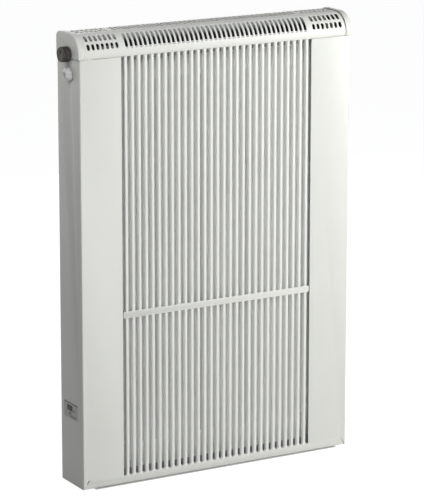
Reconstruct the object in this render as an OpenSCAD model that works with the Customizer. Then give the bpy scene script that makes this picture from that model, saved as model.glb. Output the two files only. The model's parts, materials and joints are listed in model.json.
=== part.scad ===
// Cased hydronic radiator for a wall, in millimetres.
// A sheet casing with a slatted front and a slotted round hood covers two water panels. A hand valve and an air
// vent are worked from the left side, and the pipes join from below. X runs to the right, Z up, the wall is
// behind at +Y, and the origin is the centre of the four wall screws, on the wall.

/* [Casing] */
// Width between the two side faces
casing_w = 600; // [560:10:900]
// Height from the bottom edge to the top of the hood
casing_h = 890; // [700:10:1200]
// Depth from the wall to the front face
casing_d = 92; // [90:1:120]
// Thickness of the casing and hood sheet
sheet_t = 1.5; // [1:0.1:2]
// Outer radius of the two upright front edges
bend_r = 2.5; // [2.2:0.1:5]
// Width of the flange turned in along each rear edge
rear_lip_w = 22; // [12:1:24]
// Height of the strip that ties the rear flanges together at the top
rear_strip_h = 12; // [8:1:16]
// Depth of the flange turned in along the bottom of the front
bottom_lip_d = 9; // [5:1:10]
// Height of the band that leans in along the bottom of the front
band_h = 11; // [8:1:14]
// How far the lower edge of that band leans in
band_lean = 2; // [1:0.5:3]
// Width of the relief slit at the left end of the band
slit_left_w = 1.8; // [0.6:0.1:2.5]
// Width of the relief slit at the right end of the band
slit_right_w = 0.5; // [0.4:0.1:2.5]
// Sideways run of a relief slit
slit_run = 7.5; // [6:0.5:10]
// Upward run of a relief slit
slit_rise = 11.5; // [10:0.5:14]
// Distance from the side face to the top of a relief slit
slit_inset = 12.3; // [11:0.1:16]
// Height of the top of a relief slit
slit_top_z = 17.7; // [16.5:0.1:20]
// Height of the side panel's tongue inside the hood
side_tongue_h = 13; // [10:1:14]
// How far the tongue stays back from the front and from the wall
side_tongue_inset = 6; // [5:0.5:10]

/* [Hood] */
// Radius of the rounded front of the hood
hood_r = 38; // [30:1:40]
// Height of the plain skirt under the curve
hood_skirt_h = 6; // [4:1:12]
// Radius of the bend at the back of the hood
hood_back_r = 10; // [5:1:12]
// Height of the flange at the back of the hood
hood_back_h = 43; // [15:1:43]
// Open seam between the hood and the front panel
seam_gap = 0.6; // [0.5:0.1:2]
// Width of one slot
slot_w = 6; // [4:0.5:6]
// How far a slot's straight flanks stand inside its round ends on the curve
slot_flank_in = 0.01; // [0.01:0.01:0.05]
// Distance from one slot to the next
slot_pitch = 10.15; // [9:0.05:10.2]
// Number of long slots in the middle
long_slots = 40; // [20:2:40]
// Number of short slots at each end
short_slots = 7; // [3:1:7]
// Slots left out between the long and the short ones
skipped_slots = 1; // [1:1:2]
// Angle up the curve where a long slot starts
long_a0 = 13.5; // [12:0.5:20]
// Angle up the curve where a long slot ends
long_a1 = 68; // [60:0.5:72]
// Angle up the curve where the lower short slot starts
low_a0 = 16; // [12:0.5:20]
// Angle up the curve where the lower short slot ends
low_a1 = 35.5; // [32:0.5:38]
// Angle up the curve where the upper short slot starts
high_a0 = 43.5; // [42:0.5:48]
// Angle up the curve where the upper short slot ends
high_a1 = 69; // [62:0.5:72]
// Distance behind the curve where the slots in the flat top start
top_slot_gap = 6; // [4:1:10]
// Length of the slots in the flat top
top_slot_len = 34; // [30:1:34]
// Solid bridge between the two short slots in the flat top
top_slot_bridge = 6; // [4:1:8]

/* [Hood end caps] */
// How far a cap stands proud of the hood sheet
cap_proud = 1.2; // [1:0.1:2]
// Width of the rim that wraps the hood sheet
cap_rim_w = 10; // [8:1:12]
// How far a cap stands out from the side panel
cap_over = 2.5; // [2:0.1:4]
// Thickness of a cap's end wall
cap_wall = 2; // [1.5:0.1:2]
// Radius of a cap's front corner
cap_r = 36; // [30:1:40]
// Thickness of the tongue inside the hood sheet
cap_tongue_t = 2; // [1.5:0.5:3]
// Width of that tongue
cap_tongue_w = 8; // [6:0.5:9]
// Clearance round the sheet inside a cap
cap_c = 0.1; // [0.05:0.05:0.2]
// Clearance between a cap's hook and the side panel
hook_c = 0.3; // [0.2:0.1:0.5]
// Width of each of a cap's two hooks
hook_w = 14; // [8:1:16]
// Length of a hook below the edge that it hangs on
hook_drop = 9; // [5:1:10]
// Distance from the front or the wall to a hook
hook_inset = 9; // [8:0.5:12]
// Half width of the notch that the valve passes through
notch_r = 8; // [6:0.5:9]

/* [Grille] */
// Number of upright bars
bar_count = 29; // [15:2:29]
// Distance from one bar to the next
bar_pitch = 14.4; // [12:0.1:14.5]
// Width of a bar
bar_w = 6.6; // [5:0.1:7]
// Depth of a bar from its rounded front to its back
bar_d = 7; // [6:0.5:7]
// Gap between the last bar and the edge of the window
end_gap = 6.35; // [5:0.05:8]
// Height of the solid strip under the window
sill_h = 15.6; // [15:0.1:20]
// Length of a bar's upper end that lies behind the hood
bar_tail = 8; // [6:1:9]
// Height of the crossbar
crossbar_h = 13; // [10:1:16]
// Height of the middle of the crossbar
crossbar_z = 339.5; // [250:0.5:600]
// Thickness of the crossbar
crossbar_t = 3; // [2:0.5:4]
// Corner radius of the crossbar
crossbar_r = 3; // [1:0.5:4]
// Gap between the crossbar's end and the window's edge
crossbar_gap = 1.2; // [1:0.1:2]
// Thickness of the rails behind the bars
rail_t = 2; // [1.5:0.5:2.5]
// Width of a rail's foot that is welded to the sheet
rail_foot_w = 12; // [8:1:16]
// Gap between the back of the sheet and the bars' tails
tail_gap = 0.3; // [0.2:0.1:0.5]

/* [Water panels] */
// Thickness of a water panel over its channels
panel_t = 12; // [10:1:12]
// Thickness where the two skins are welded together
seam_t = 3; // [2.5:0.5:3]
// Wall thickness of the water channels
channel_wall = 1.3; // [1.2:0.1:1.6]
// Distance from one channel to the next
channel_pitch = 33.3; // [30:0.1:40]
// Width of a channel
channel_w = 26; // [20:1:27]
// Slope width at each side of a channel
channel_slope = 3; // [2:0.5:4]
// Height of the header channel across each end of a panel
header_h = 36; // [34:1:40]
// Gap between the front face and the front water panel
panel_inset = 12; // [10:0.5:12]
// Gap between the two water panels
panel_gap = 30; // [30:1:34]
// Space left of the water panels for the pipes
pipe_zone_w = 60; // [58:1:70]
// Space right of the water panels
right_zone_w = 30; // [28:1:40]
// Height of the bottom edge of the water panels
panel_z0 = 25; // [24:1:30]
// Distance from the seam down to the top edge of the water panels
panel_drop = 7; // [5:1:12]
// Height of the lower tees' axis
tee_low_z = 60; // [58:1:64]
// Distance from the hood's top down to the upper tees' axis
tee_high_drop = 76; // [74:1:80]
// Distance from the left end of the panels to the left tees
tee_left_in = 45; // [43:1:50]
// Distance from the right end of the panels to the right tees
tee_right_in = 25; // [22:1:30]
// Outer radius of a tee's tube
tee_r = 14; // [13.5:0.5:15]
// Radius of the waterway between the panels
tee_bore_r = 9; // [7:0.5:9]
// Outer radius of a tee's side boss
boss_r = 12; // [11.5:0.5:12.5]
// Reach of a tee's side boss from the tee's axis
boss_len = 30; // [28:1:32]
// Depth of the thread in a tee's side boss
boss_thread_len = 14; // [12:1:14]
// Radius of the half inch pipe thread's bore
thread_r = 9.3; // [9:0.1:9.5]
// Clearance round a screwed joint
thread_c = 0.1; // [0.05:0.05:0.2]
// Distance between the water panels' ends and the fins
fin_clear = 30; // [28:1:40]
// Sheet thickness of the fins
fin_t = 0.8; // [0.6:0.1:1.2]
// Distance from one fin wave to the next
fin_pitch = 33.3; // [25:0.1:40]
// Gap between the fins and the rear water panel
fin_gap = 2; // [1.5:0.5:3]
// Clear height between the lower tees' axis and the fins
fin_base = 35; // [30:1:60]

/* [Valve] */
// Depth of the valve's axis behind the front face
valve_depth = 41; // [40:0.5:42]
// Distance from the hood's top down to the valve's axis
valve_drop = 37; // [36.5:0.5:38]
// Outer radius of the valve body
valve_r = 13; // [12:0.5:13]
// Length of the valve body
valve_len = 46; // [44:1:48]
// Gap between the side face and the valve body
valve_inset = 10; // [9:0.5:11]
// Radius of the chamber in a valve
chamber_r = 8; // [7.5:0.1:8]
// Radius of a valve's seat
seat_r = 5; // [4:0.5:5.5]
// Thickness of a valve's seat
seat_t = 4; // [3:0.5:4]
// Depth of the pipe socket in the valve and the tee
socket_len = 5; // [4:0.5:6]
// Radius of a valve's plug
plug_r = 7; // [6:0.5:7.2]
// Lift of a valve's plug from closed to open
valve_lift = 3; // [2:0.5:3]
// Turn of the control knob from closed to open
knob_turn = 300; // [180:10:330]
// Radius of the spindles
spindle_r = 3; // [2.5:0.1:3.2]
// Running clearance round a spindle
run_c = 0.05; // [0.02:0.01:0.1]
// Gap between a spindle's end and the open plug on it
spindle_gap = 2; // [1:0.5:2.5]
// Gap between a closed plug and its seat
seat_gap = 0.1; // [0.05:0.05:0.2]
// Thickness of the rubber washer
washer_t = 2; // [1.5:0.5:3]
// Thickness of a plug's head
plug_head_t = 3; // [2:0.5:3]
// Length of the sleeve behind a plug's head
sleeve_len = 10; // [9:1:11]
// Radius of the sleeve behind a plug's head
sleeve_r = 5; // [4.5:0.1:5.5]
// Length of the gland nut's hexagon
gland_hex_len = 7; // [6:0.5:8]
// Radius over the corners of the gland nut's hexagon
gland_hex_r = 11; // [10.5:0.5:12]
// Length of the gland nut's thread
gland_thread_len = 6; // [5:0.5:7]
// Radius of the gland nut's thread
gland_thread_r = 9; // [8.5:0.1:9.2]
// Thickness of the gland's sealing ring
seal_ring_t = 1.5; // [1:0.1:1.8]

/* [Control knob] */
// Radius of the knob
knob_r = 15; // [13:0.5:16]
// Length of the knob
knob_len = 17.5; // [14:0.5:22]
// Chamfer round the knob's face
knob_chamfer = 2.5; // [1:0.5:4]
// Gap between the knob and the end cap
knob_gap = 0.8; // [0.5:0.1:2]
// Wall left in front of the spindle in the knob
knob_face_t = 3; // [2:0.5:4]
// Radius of the set screw
set_screw_r = 1.5; // [1.2:0.1:2]

/* [Air vent] */
// Radius of the white vent knob
dial_r = 14; // [11:0.5:15]
// Length of the vent knob
dial_len = 12; // [8:0.5:14]
// Chamfer round the vent knob's face
dial_chamfer = 2; // [1:0.5:3]
// Gap between the vent knob and the side panel
dial_gap = 1.2; // [0.6:0.1:3]
// Radius of the hole in the side panel for the vent stem
stem_hole_r = 5; // [4.5:0.5:7]
// Turn of the vent knob from closed to open
vent_turn = 360; // [270:10:360]
// Lift of the vent needle
vent_lift = 1; // [0.5:0.1:1.5]
// Radius of the vent needle
needle_r = 2; // [1.5:0.1:2]
// Length of the vent needle
needle_len = 13; // [12:0.5:13.5]
// Length of the needle's tapered tip
needle_tip = 2; // [1:0.5:3]
// Distance from the vent's seat back to the end of its stem
stem_short = 6; // [5:0.5:7]
// Radius of the vent's orifice
orifice_r = 1.2; // [0.8:0.1:1.4]
// Length of the vent's orifice
orifice_len = 2; // [1:0.5:3]
// How far a plug's thread stops short of the bottom of its hole
thread_short = 2; // [1:0.5:3]
// Radius over the corners of the plugs' hexagons
hex_r = 11; // [10.5:0.5:12]
// Length of the plugs' hexagons
hex_len = 7; // [6:0.5:8]
// Thickness of the plugs' sealing rings
washer_seal_t = 1.5; // [1:0.1:2]

/* [Pipes] */
// Distance between the two connections below
connection_pitch = 50; // [48:0.5:52]
// Distance from the side face to the supply connection
supply_inset = 24; // [23:0.5:26]
// Height of the mouths of the two connections
connection_z = 20; // [18:1:22]
// Depth of the thread in each connection
connection_thread = 14; // [12:1:15]
// Height of the supply connector's body
connector_len = 36; // [34:1:38]
// Outer radius of the two connections
connector_r = 12; // [11.5:0.5:12.5]
// Outer radius of the pipe
pipe_r = 7.5; // [7:0.5:7.5]
// Wall of the pipe
pipe_wall = 1; // [0.8:0.1:1.5]
// Clearance round a pipe in its socket
pipe_c = 0.1; // [0.05:0.05:0.2]
// Radius of the pipe's upper bends
pipe_bend = 12; // [11:0.5:13]
// Distance from the wall to the upright pipe
riser_back = 21; // [20:0.5:21]
// Length of the compression nut
nut_len = 10; // [8:1:12]
// Radius over the corners of the compression nut
nut_r = 13; // [12:0.5:13]
// Thickness of the plate that holds the two connections
plate_t = 3; // [2:0.5:4]
// Height of that plate above the connections' mouths
plate_rise = 24; // [23:1:26]
// Width of that plate round each connection
plate_margin = 3; // [2:0.5:4]
// Length of the lockshield's tail that screws into the tee
ls_tail_len = 9; // [7:0.5:9]
// Distance from the return connection's axis to the lockshield's seat
ls_seat_shift = 4; // [3.5:0.5:5]
// Distance from that axis to the inner end of the lockshield's gland
ls_gland_shift = 13; // [12.5:0.5:14]
// Length of the hexagon of the lockshield's gland
ls_hex_len = 5; // [4:0.5:6]
// Gap between the lockshield spindle's head and its cap
ls_head_gap = 3; // [2:0.5:5]
// Length of the lockshield cap
ls_cap_len = 11; // [10:0.5:11.5]
// Outer radius of the lockshield cap
ls_cap_r = 9.5; // [8:0.5:10]
// Wall of the lockshield cap
ls_cap_wall = 1.5; // [1:0.1:2]
// Turn of the lockshield spindle from closed to open
lockshield_turn = 720; // [360:90:1080]

/* [Wall rails and casing hooks] */
// Distance between the two wall rails
rail_pitch = 300; // [240:10:340]
// Distance between the upper and lower wall screws
screw_rise = 560; // [400:10:560]
// Length of a rail beyond its last screw hole
rail_end = 20; // [15:1:40]
// Width of a wall rail
rail_w = 40; // [30:1:50]
// Depth of a wall rail
rail_d = 24; // [23:0.5:24]
// Thickness of a wall rail's steel
rail_steel = 2; // [1.5:0.5:2.5]
// Radius of the holes for the wall screws
wall_hole_r = 4.5; // [3:0.5:6]
// Distance from the upper screw row down to the hooks' seat
hook_seat_drop = 35; // [30:1:60]
// Width of the bar that hangs in the hooks
lug_bar_w = 6; // [5:0.5:7]
// Height of the bar that hangs in the hooks
lug_bar_h = 8; // [6:1:10]
// Thickness of a lug's cheeks
lug_cheek = 5; // [3:0.5:6]
// Gap between a lug's cheeks and the rail
lug_gap = 2; // [1:0.5:3]
// Clearance before and behind the bar in its hook
lug_c = 0.5; // [0.3:0.1:0.8]
// Front lip that keeps the bar in the hook
hook_lip = 4; // [3:0.5:5]
// Height of a hook's mouth above the bar
hook_mouth = 4; // [3:0.5:5]
// How far the mouth dips below the top of the bar in front
mouth_dip = 2; // [1:0.5:3]
// Height of the buffer pads
buffer_h = 20; // [10:1:30]
// Distance from the lower screw row up to the buffer pads
buffer_rise = 35; // [30:1:60]
// Height of the bracket arms that carry the casing
arm_h = 25; // [15:1:30]
// Thickness of the bracket arms
arm_t = 2; // [1.5:0.5:3]
// Distance from the wall to the back of a bracket arm
arm_back = 8; // [7:0.5:9]
// Length of a bracket's foot on the rail
foot_len = 12; // [10:1:13]
// Distance from the screw rows towards the middle to the bracket arms
arm_shift = 70; // [60:1:90]
// Width of the hooks welded inside the side panels
hanger_w = 8.5; // [6:0.5:10]
// Wall of those hooks beside the arm
hanger_wall = 3; // [2:0.5:4]
// Clearance between a hook and the arm in it
hanger_c = 0.3; // [0.2:0.1:0.5]
// Gap between the end of a bracket arm and the side panel
arm_end_c = 1; // [0.5:0.1:1.5]
// Radius of the bracket screws
bracket_screw_r = 2.5; // [2:0.5:3]
// Radius of the bracket screws' heads
screw_head_r = 4.5; // [4:0.5:5]
// Thickness of the bracket screws' heads
screw_head_t = 2; // [1.5:0.5:3]
// Length of a bracket screw beyond the rail's cheek
screw_tip = 3; // [2:0.5:5]

/* [Data plate] */
// Length of the plate along the side
plate_w = 57; // [40:1:60]
// Height of the plate
plate_h = 31; // [20:1:40]
// Thickness of the plate
label_t = 0.4; // [0.3:0.1:1]
// Distance from the front face to the plate
label_front = 22; // [15:1:26]
// Height of the plate's lower edge
label_z = 133; // [60:1:300]

/* [Hidden] */
$fn = 48;

// A small overshoot that lets a cut pass clean through a face
cut = 1;
side_x = -casing_w / 2;
front_y = -casing_d;
hang_z = casing_h / 2;

tangent_z = casing_h - hood_r;
hood_z0 = tangent_z - hood_skirt_h;
seam_z = hood_z0 - seam_gap;
tongue_top = seam_z + side_tongue_h;
hood_cy = front_y + hood_r;
hood_half = casing_w / 2;
cap_inner_x = casing_w / 2 + cap_over - cap_wall;
cap_outer_x = casing_w / 2 + cap_over;

window_w = (bar_count - 1) * bar_pitch + bar_w + 2 * end_gap;
bar_back = front_y + bar_d;
tail_front = front_y + sheet_t + tail_gap;
tail_z0 = band_h + tail_gap;

panel_x0 = side_x + pipe_zone_w;
panel_x1 = casing_w / 2 - right_zone_w;
panel_z1 = seam_z - panel_drop;
front_panel_y = front_y + panel_inset;
front_panel_back = front_panel_y + panel_t;
rear_panel_front = front_panel_back + panel_gap;
rear_panel_back = rear_panel_front + panel_t;
tee_y = (front_panel_back + rear_panel_front) / 2;
tee_left_x = panel_x0 + tee_left_in;
tee_right_x = panel_x1 - tee_right_in;
tee_high_z = casing_h - tee_high_drop;

valve_y = front_y + valve_depth;
valve_z = casing_h - valve_drop;
valve_x0 = side_x + valve_inset;
valve_x1 = valve_x0 + valve_len;
seat_x = valve_x1 - socket_len - seat_t;
waterway_r = pipe_r - pipe_wall;
socket_r = pipe_r + pipe_c;
knob_x1 = -cap_outer_x - knob_gap;
knob_x0 = knob_x1 - knob_len;
plunger_x1 = seat_x - seat_gap - washer_t;
plunger_x0 = plunger_x1 - plug_head_t - sleeve_len;
spindle_end = plunger_x1 - plug_head_t - valve_lift - spindle_gap;

supply_x = side_x + supply_inset;
return_x = supply_x + connection_pitch;
riser_y = -riser_back;
riser_bend = (riser_y - tee_y) / 2;
connector_top = connection_z + connector_len;
riser_bend_z = connector_top + nut_len;

vent_boss_x = tee_left_x - boss_len;
vent_hex_x1 = vent_boss_x - washer_seal_t;
vent_seat_x = vent_boss_x + boss_thread_len - thread_short - orifice_len;
needle_x1 = vent_seat_x - seat_gap;
stem_end = vent_seat_x - stem_short;
dial_x1 = side_x - dial_gap;
dial_x0 = dial_x1 - dial_len;

ls_tail_x = return_x + connector_r + ls_tail_len;
ls_seat_x = return_x + ls_seat_shift;
ls_plug_x1 = ls_seat_x - seat_gap;
ls_plug_x0 = ls_plug_x1 - plug_head_t - sleeve_len;
ls_gland_x1 = return_x - ls_gland_shift;
ls_hex_x0 = ls_gland_x1 - gland_thread_len - ls_hex_len;
ls_spindle_end = ls_plug_x1 - plug_head_t - valve_lift - spindle_gap;

screw_z = [hang_z - screw_rise / 2, hang_z + screw_rise / 2];
rail_z0 = screw_z[0] - rail_end;
rail_z1 = screw_z[1] + rail_end;
seat_z = screw_z[1] - hook_seat_drop;
lug_y0 = -rail_d + hook_lip + lug_c;
arm_y1 = -arm_back;
arm_y0 = arm_y1 - arm_t;
arm_x = casing_w / 2 - sheet_t - arm_end_c;
bracket_screw_y = arm_y0 - foot_len / 2;
arm_zs = [screw_z[0] + arm_shift, screw_z[1] - arm_shift];
rails = [-rail_pitch / 2, rail_pitch / 2];

// Round solids along each axis
module rod_x(x0, x1, y, z, r) translate([x0, y, z]) rotate([0, 90, 0]) cylinder(h = x1 - x0, r = r);
module rod_y(y0, y1, x, z, r) translate([x, y0, z]) rotate([-90, 0, 0]) cylinder(h = y1 - y0, r = r);
module rod_z(z0, z1, x, y, r) translate([x, y, z0]) cylinder(h = z1 - z0, r = r);
module hex_x(x0, x1, y, z, r) translate([x0, y, z]) rotate([0, 90, 0]) cylinder(h = x1 - x0, r = r, $fn = 6);

// A box from one corner to the opposite one
module box(a, b) translate(a) cube(b - a);

// An outline drawn in Y and Z, drawn out along X
module along_x(x0, x1) translate([x0, 0, 0]) rotate([90, 0, 90]) linear_extrude(x1 - x0) children();
// An outline drawn in X and Z, drawn out along Y
module along_y(y0, y1) translate([0, y1, 0]) rotate([90, 0, 0]) linear_extrude(y1 - y0) children();

// A quarter bend of round rod in the YZ plane that starts at angle a
module bend_yz(x, y, z, bend, r, a)
    translate([x, y, z]) rotate([90, 0, 90]) rotate([0, 0, a])
        rotate_extrude(angle = 90) translate([bend, 0]) circle(r);

// The whole radiator, moved so that the middle of the wall screws is the origin
module place() translate([0, 0, -hang_z]) children();

// Side outline of the hood moved inwards, with its own front radius, down to a given height
module hood_outline(inset, r_front, z0) {
    y0 = front_y + inset;
    y1 = -cap_proud - inset;
    z1 = casing_h - inset;
    r_back = hood_back_r - inset;
    translate([y0, z0]) square([r_front, z1 - r_front - z0]);
    translate([y0 + r_front, z0]) square([y1 - r_back - y0 - r_front, z1 - z0]);
    translate([y1 - r_back, z0]) square([r_back, z1 - r_back - z0]);
    intersection() {
        translate([y0 + r_front, z1 - r_front]) circle(r_front);
        translate([y0, z1 - r_front]) square([r_front, r_front]);
    }
    intersection() {
        translate([y1 - r_back, z1 - r_back]) circle(r_back);
        translate([y1 - r_back, z1 - r_back]) square([r_back, r_back]);
    }
}

// The front sheet, flat down to the bottom edge
module front_flat() box([side_x + bend_r, front_y, 0], [-side_x - bend_r, front_y + sheet_t, seam_z]);

// Outline in X and Z of the band between the two relief slits, cut back by a margin at each end
module band_outline(margin, z1) {
    foot = slit_inset - slit_top_z * slit_run / slit_rise;
    head = foot + z1 * slit_run / slit_rise;
    polygon([
        [side_x + foot + margin, 0], [-side_x - foot - margin, 0],
        [-side_x - head - margin, z1], [side_x + head + margin, z1]
    ]);
}

// One relief slit through the front sheet, on the left
module relief_slit(w) {
    slope = atan2(slit_rise, slit_run);
    long = norm([slit_run, slit_rise]);
    translate([side_x + slit_inset, front_y - cut, slit_top_z]) rotate([0, -slope, 0])
        translate([-long, 0, -w / 2]) cube([long, sheet_t + 2 * cut, w]);
}

module casing_corner() {
    translate([side_x + bend_r, front_y + bend_r, 0]) difference() {
        cylinder(h = seam_z, r = bend_r);
        translate([0, 0, -cut]) cylinder(h = seam_z + 2 * cut, r = bend_r - sheet_t);
        translate([0, -2 * bend_r, -cut]) cube([2 * bend_r, 4 * bend_r, seam_z + 2 * cut]);
        translate([-2 * bend_r, 0, -cut]) cube([4 * bend_r, 2 * bend_r, seam_z + 2 * cut]);
    }
}

module side_panel() {
    box([side_x, front_y + bend_r, 0], [side_x + sheet_t, 0, seam_z]);
    box([side_x, front_y + side_tongue_inset, seam_z - cut], [side_x + sheet_t, -side_tongue_inset, tongue_top]);
    box([side_x, -sheet_t, 0], [side_x + rear_lip_w, 0, seam_z]);
}

module casing_shell() place() color("gainsboro") difference() {
    union() {
        difference() {
            front_flat();
            along_y(front_y - cut, front_y + sheet_t + cut) band_outline(0, band_h);
        }
        intersection() {
            along_x(side_x, -side_x) polygon([
                [front_y, band_h], [front_y + band_lean, 0], [front_y + band_lean + sheet_t, 0],
                [front_y + sheet_t, band_h]
            ]);
            along_y(front_y - cut, 0) band_outline(slit_left_w / 2, band_h);
        }
        box([side_x + slit_inset, front_y + band_lean, 0], [-side_x - slit_inset, front_y + band_lean + bottom_lip_d,
            sheet_t]);
        box([side_x + rear_lip_w - cut, -sheet_t, seam_z - rear_strip_h], [-side_x - rear_lip_w + cut, 0, seam_z]);
        for (s = [0, 1]) mirror([s, 0, 0]) {
            casing_corner();
            side_panel();
        }
    }
    box([-window_w / 2, front_y - cut, sill_h], [window_w / 2, front_y + sheet_t + cut, seam_z + cut]);
    relief_slit(slit_left_w);
    mirror([1, 0, 0]) relief_slit(slit_right_w);
    rod_x(side_x - cut, side_x + sheet_t + cut, valve_y, valve_z, notch_r);
    box([side_x - cut, valve_y - notch_r, valve_z], [side_x + sheet_t + cut, valve_y + notch_r, tongue_top + cut]);
    rod_x(side_x - cut, side_x + sheet_t + cut, tee_y, tee_high_z, stem_hole_r);
}

// A slot over the curve, with round ends, between two angles up from the level
module curve_slot(x, a0, a1) {
    r0 = hood_r - sheet_t - cut;
    r1 = hood_r + cut;
    far = r1 / cos((a1 - a0) / 2) + cut;
    end = slot_w / 2 / hood_r * 180 / PI;
    flank = slot_w / 2 - slot_flank_in;
    along_x(x - flank, x + flank) translate([hood_cy, tangent_z]) polygon([
        r0 * [-cos(a0 + end), sin(a0 + end)], far * [-cos(a0 + end), sin(a0 + end)],
        far * [-cos(a1 - end), sin(a1 - end)], r0 * [-cos(a1 - end), sin(a1 - end)]
    ]);
    for (a = [a0 + end, a1 - end]) translate([x, hood_cy, tangent_z]) rotate([90 - a, 0, 0])
        translate([0, 0, r0]) cylinder(h = r1 - r0, r = slot_w / 2);
}

// A slot through the flat top, with round ends, starting at depth d
module top_slot(x, d, length) {
    y0 = front_y + d + slot_w / 2;
    y1 = front_y + d + length - slot_w / 2;
    z0 = casing_h - sheet_t - cut;
    box([x - slot_w / 2, y0, z0], [x + slot_w / 2, y1, casing_h + cut]);
    for (y = [y0, y1]) rod_z(z0, casing_h + cut, x, y, slot_w / 2);
}

module hood_slots() {
    top_d = hood_r + top_slot_gap;
    short_len = (top_slot_len - top_slot_bridge) / 2;
    for (k = [0 : long_slots - 1]) {
        x = (k - (long_slots - 1) / 2) * slot_pitch;
        curve_slot(x, long_a0, long_a1);
        top_slot(x, top_d, top_slot_len);
    }
    for (s = [-1, 1], k = [0 : short_slots - 1]) {
        x = s * ((long_slots - 1) / 2 + 1 + skipped_slots + k) * slot_pitch;
        curve_slot(x, low_a0, low_a1);
        curve_slot(x, high_a0, high_a1);
        top_slot(x, top_d, short_len);
        top_slot(x, top_d + short_len + top_slot_bridge, short_len);
    }
}

module hood_cover() place() color("gainsboro") difference() {
    along_x(-hood_half, hood_half) difference() {
        hood_outline(0, hood_r, hood_z0);
        hood_outline(sheet_t, hood_r - sheet_t, hood_z0 - cut);
        translate([-hood_back_r, hood_z0 - cut]) square([2 * hood_back_r, casing_h - hood_back_h - hood_z0 + cut]);
    }
    hood_slots();
}

// The cap on the left end of the hood: a rim over the sheet, an end wall and two hooks on the side panel
module hood_end_cap() {
    inner = sheet_t + cap_c;
    difference() {
        along_x(-cap_outer_x, -cap_outer_x + cap_rim_w + cap_wall) hood_outline(-cap_proud, cap_r, hood_z0);
        along_x(-cap_inner_x, 0) hood_outline(-cap_c, hood_r + cap_c, hood_z0 - cut);
    }
    along_x(-cap_inner_x, -cap_inner_x + cap_tongue_w) difference() {
        hood_outline(inner, hood_r - inner, hood_z0 + cut);
        hood_outline(inner + cap_tongue_t, hood_r - inner - cap_tongue_t, hood_z0);
        translate([-hood_back_r, hood_z0]) square([2 * hood_back_r, casing_h - hood_back_h - hood_z0]);
    }
    for (y = [front_y + hook_inset, -hook_inset - hook_w]) {
        hook_x = side_x + sheet_t + hook_c;
        box([-cap_inner_x, y, tongue_top], [hook_x + cap_tongue_t, y + hook_w, tongue_top + cap_tongue_t]);
        box([hook_x, y, tongue_top - hook_drop], [hook_x + cap_tongue_t, y + hook_w, tongue_top + cap_tongue_t]);
    }
}

module hood_end_cap_left() place() color("whitesmoke") difference() {
    hood_end_cap();
    rod_x(-cap_outer_x - cut, side_x, valve_y, valve_z, notch_r);
    box([-cap_outer_x - cut, valve_y - notch_r, hood_z0 - cut], [side_x, valve_y + notch_r, valve_z]);
}
module hood_end_cap_right() place() color("whitesmoke") mirror([1, 0, 0]) hood_end_cap();

module grille_bar() {
    notch_z = crossbar_z - crossbar_h / 2;
    difference() {
        union() {
            translate([0, 0, sill_h]) linear_extrude(seam_z - sill_h) {
                translate([0, front_y + bar_w / 2]) circle(bar_w / 2);
                translate([-bar_w / 2, front_y + bar_w / 2]) square([bar_w, bar_d - bar_w / 2]);
            }
            box([-bar_w / 2, tail_front, tail_z0], [bar_w / 2, bar_back, seam_z + bar_tail]);
        }
        box([-bar_w, front_y - cut, notch_z], [bar_w, front_y + crossbar_t, notch_z + crossbar_h]);
    }
}

module grille_bars() place() color("gainsboro")
    for (k = [0 : bar_count - 1]) translate([(k - (bar_count - 1) / 2) * bar_pitch, 0, 0]) grille_bar();

module grille_crossbar() place() color("gainsboro") {
    half = window_w / 2 - crossbar_gap;
    z0 = crossbar_z - crossbar_h / 2;
    along_y(front_y, front_y + crossbar_t) {
        translate([-half + crossbar_r, z0]) square([2 * (half - crossbar_r), crossbar_h]);
        translate([-half, z0 + crossbar_r]) square([2 * half, crossbar_h - 2 * crossbar_r]);
        for (x = [-half + crossbar_r, half - crossbar_r], z = [z0 + crossbar_r, z0 + crossbar_h - crossbar_r])
            translate([x, z]) circle(crossbar_r);
    }
}

// A strip behind the bars' tails with a foot against the sheet at each end
module grille_rail(z0, z1) {
    half = window_w / 2 + rail_foot_w;
    box([-half, bar_back, z0], [half, bar_back + rail_t, z1]);
    for (s = [0, 1]) mirror([s, 0, 0])
        box([-half, front_y + sheet_t, z0], [-half + rail_foot_w - cut, bar_back + rail_t, z1]);
}
module grille_top_rail() place() color("silver") {
    grille_rail(seam_z - bar_tail, seam_z - cut);
    box([-window_w / 2, bar_back, seam_z - cut], [window_w / 2, bar_back + rail_t, seam_z + bar_tail]);
}
module grille_bottom_rail() place() color("silver") grille_rail(tail_z0, sill_h);

module data_plate() place() color("white")
    box([side_x - label_t, front_y + label_front, label_z], [side_x, front_y + label_front + plate_w,
        label_z + plate_h]);

// Inverted hooks welded inside the side panels, over the ends of the bracket arms
module casing_hooks() place() color("silver") for (s = [0, 1], z = arm_zs) mirror([s, 0, 0]) difference() {
    x0 = side_x + sheet_t;
    top = z + arm_h / 2 + hanger_wall;
    box([x0, arm_y0 - hanger_c - hanger_wall, z - arm_h / 4], [x0 + hanger_w, arm_y1 + hanger_c + hanger_wall, top]);
    box([x0 + cut, arm_y0 - hanger_c, z - arm_h], [x0 + hanger_w + cut, arm_y1 + hanger_c, z + arm_h / 2]);
}

module casing_brackets() place() color("silver") for (s = [0, 1], z = arm_zs) mirror([s, 0, 0]) difference() {
    foot_x = -rail_pitch / 2 - rail_w / 2;
    union() {
        box([-arm_x, arm_y0, z - arm_h / 2], [foot_x, arm_y1, z + arm_h / 2]);
        box([foot_x - arm_t, arm_y0 - foot_len, z - arm_h / 2], [foot_x, arm_y1, z + arm_h / 2]);
    }
    for (dz = [-arm_h / 4, arm_h / 4])
        rod_x(foot_x - arm_t - cut, foot_x + cut, bracket_screw_y, z + dz, bracket_screw_r + thread_c);
}

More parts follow.
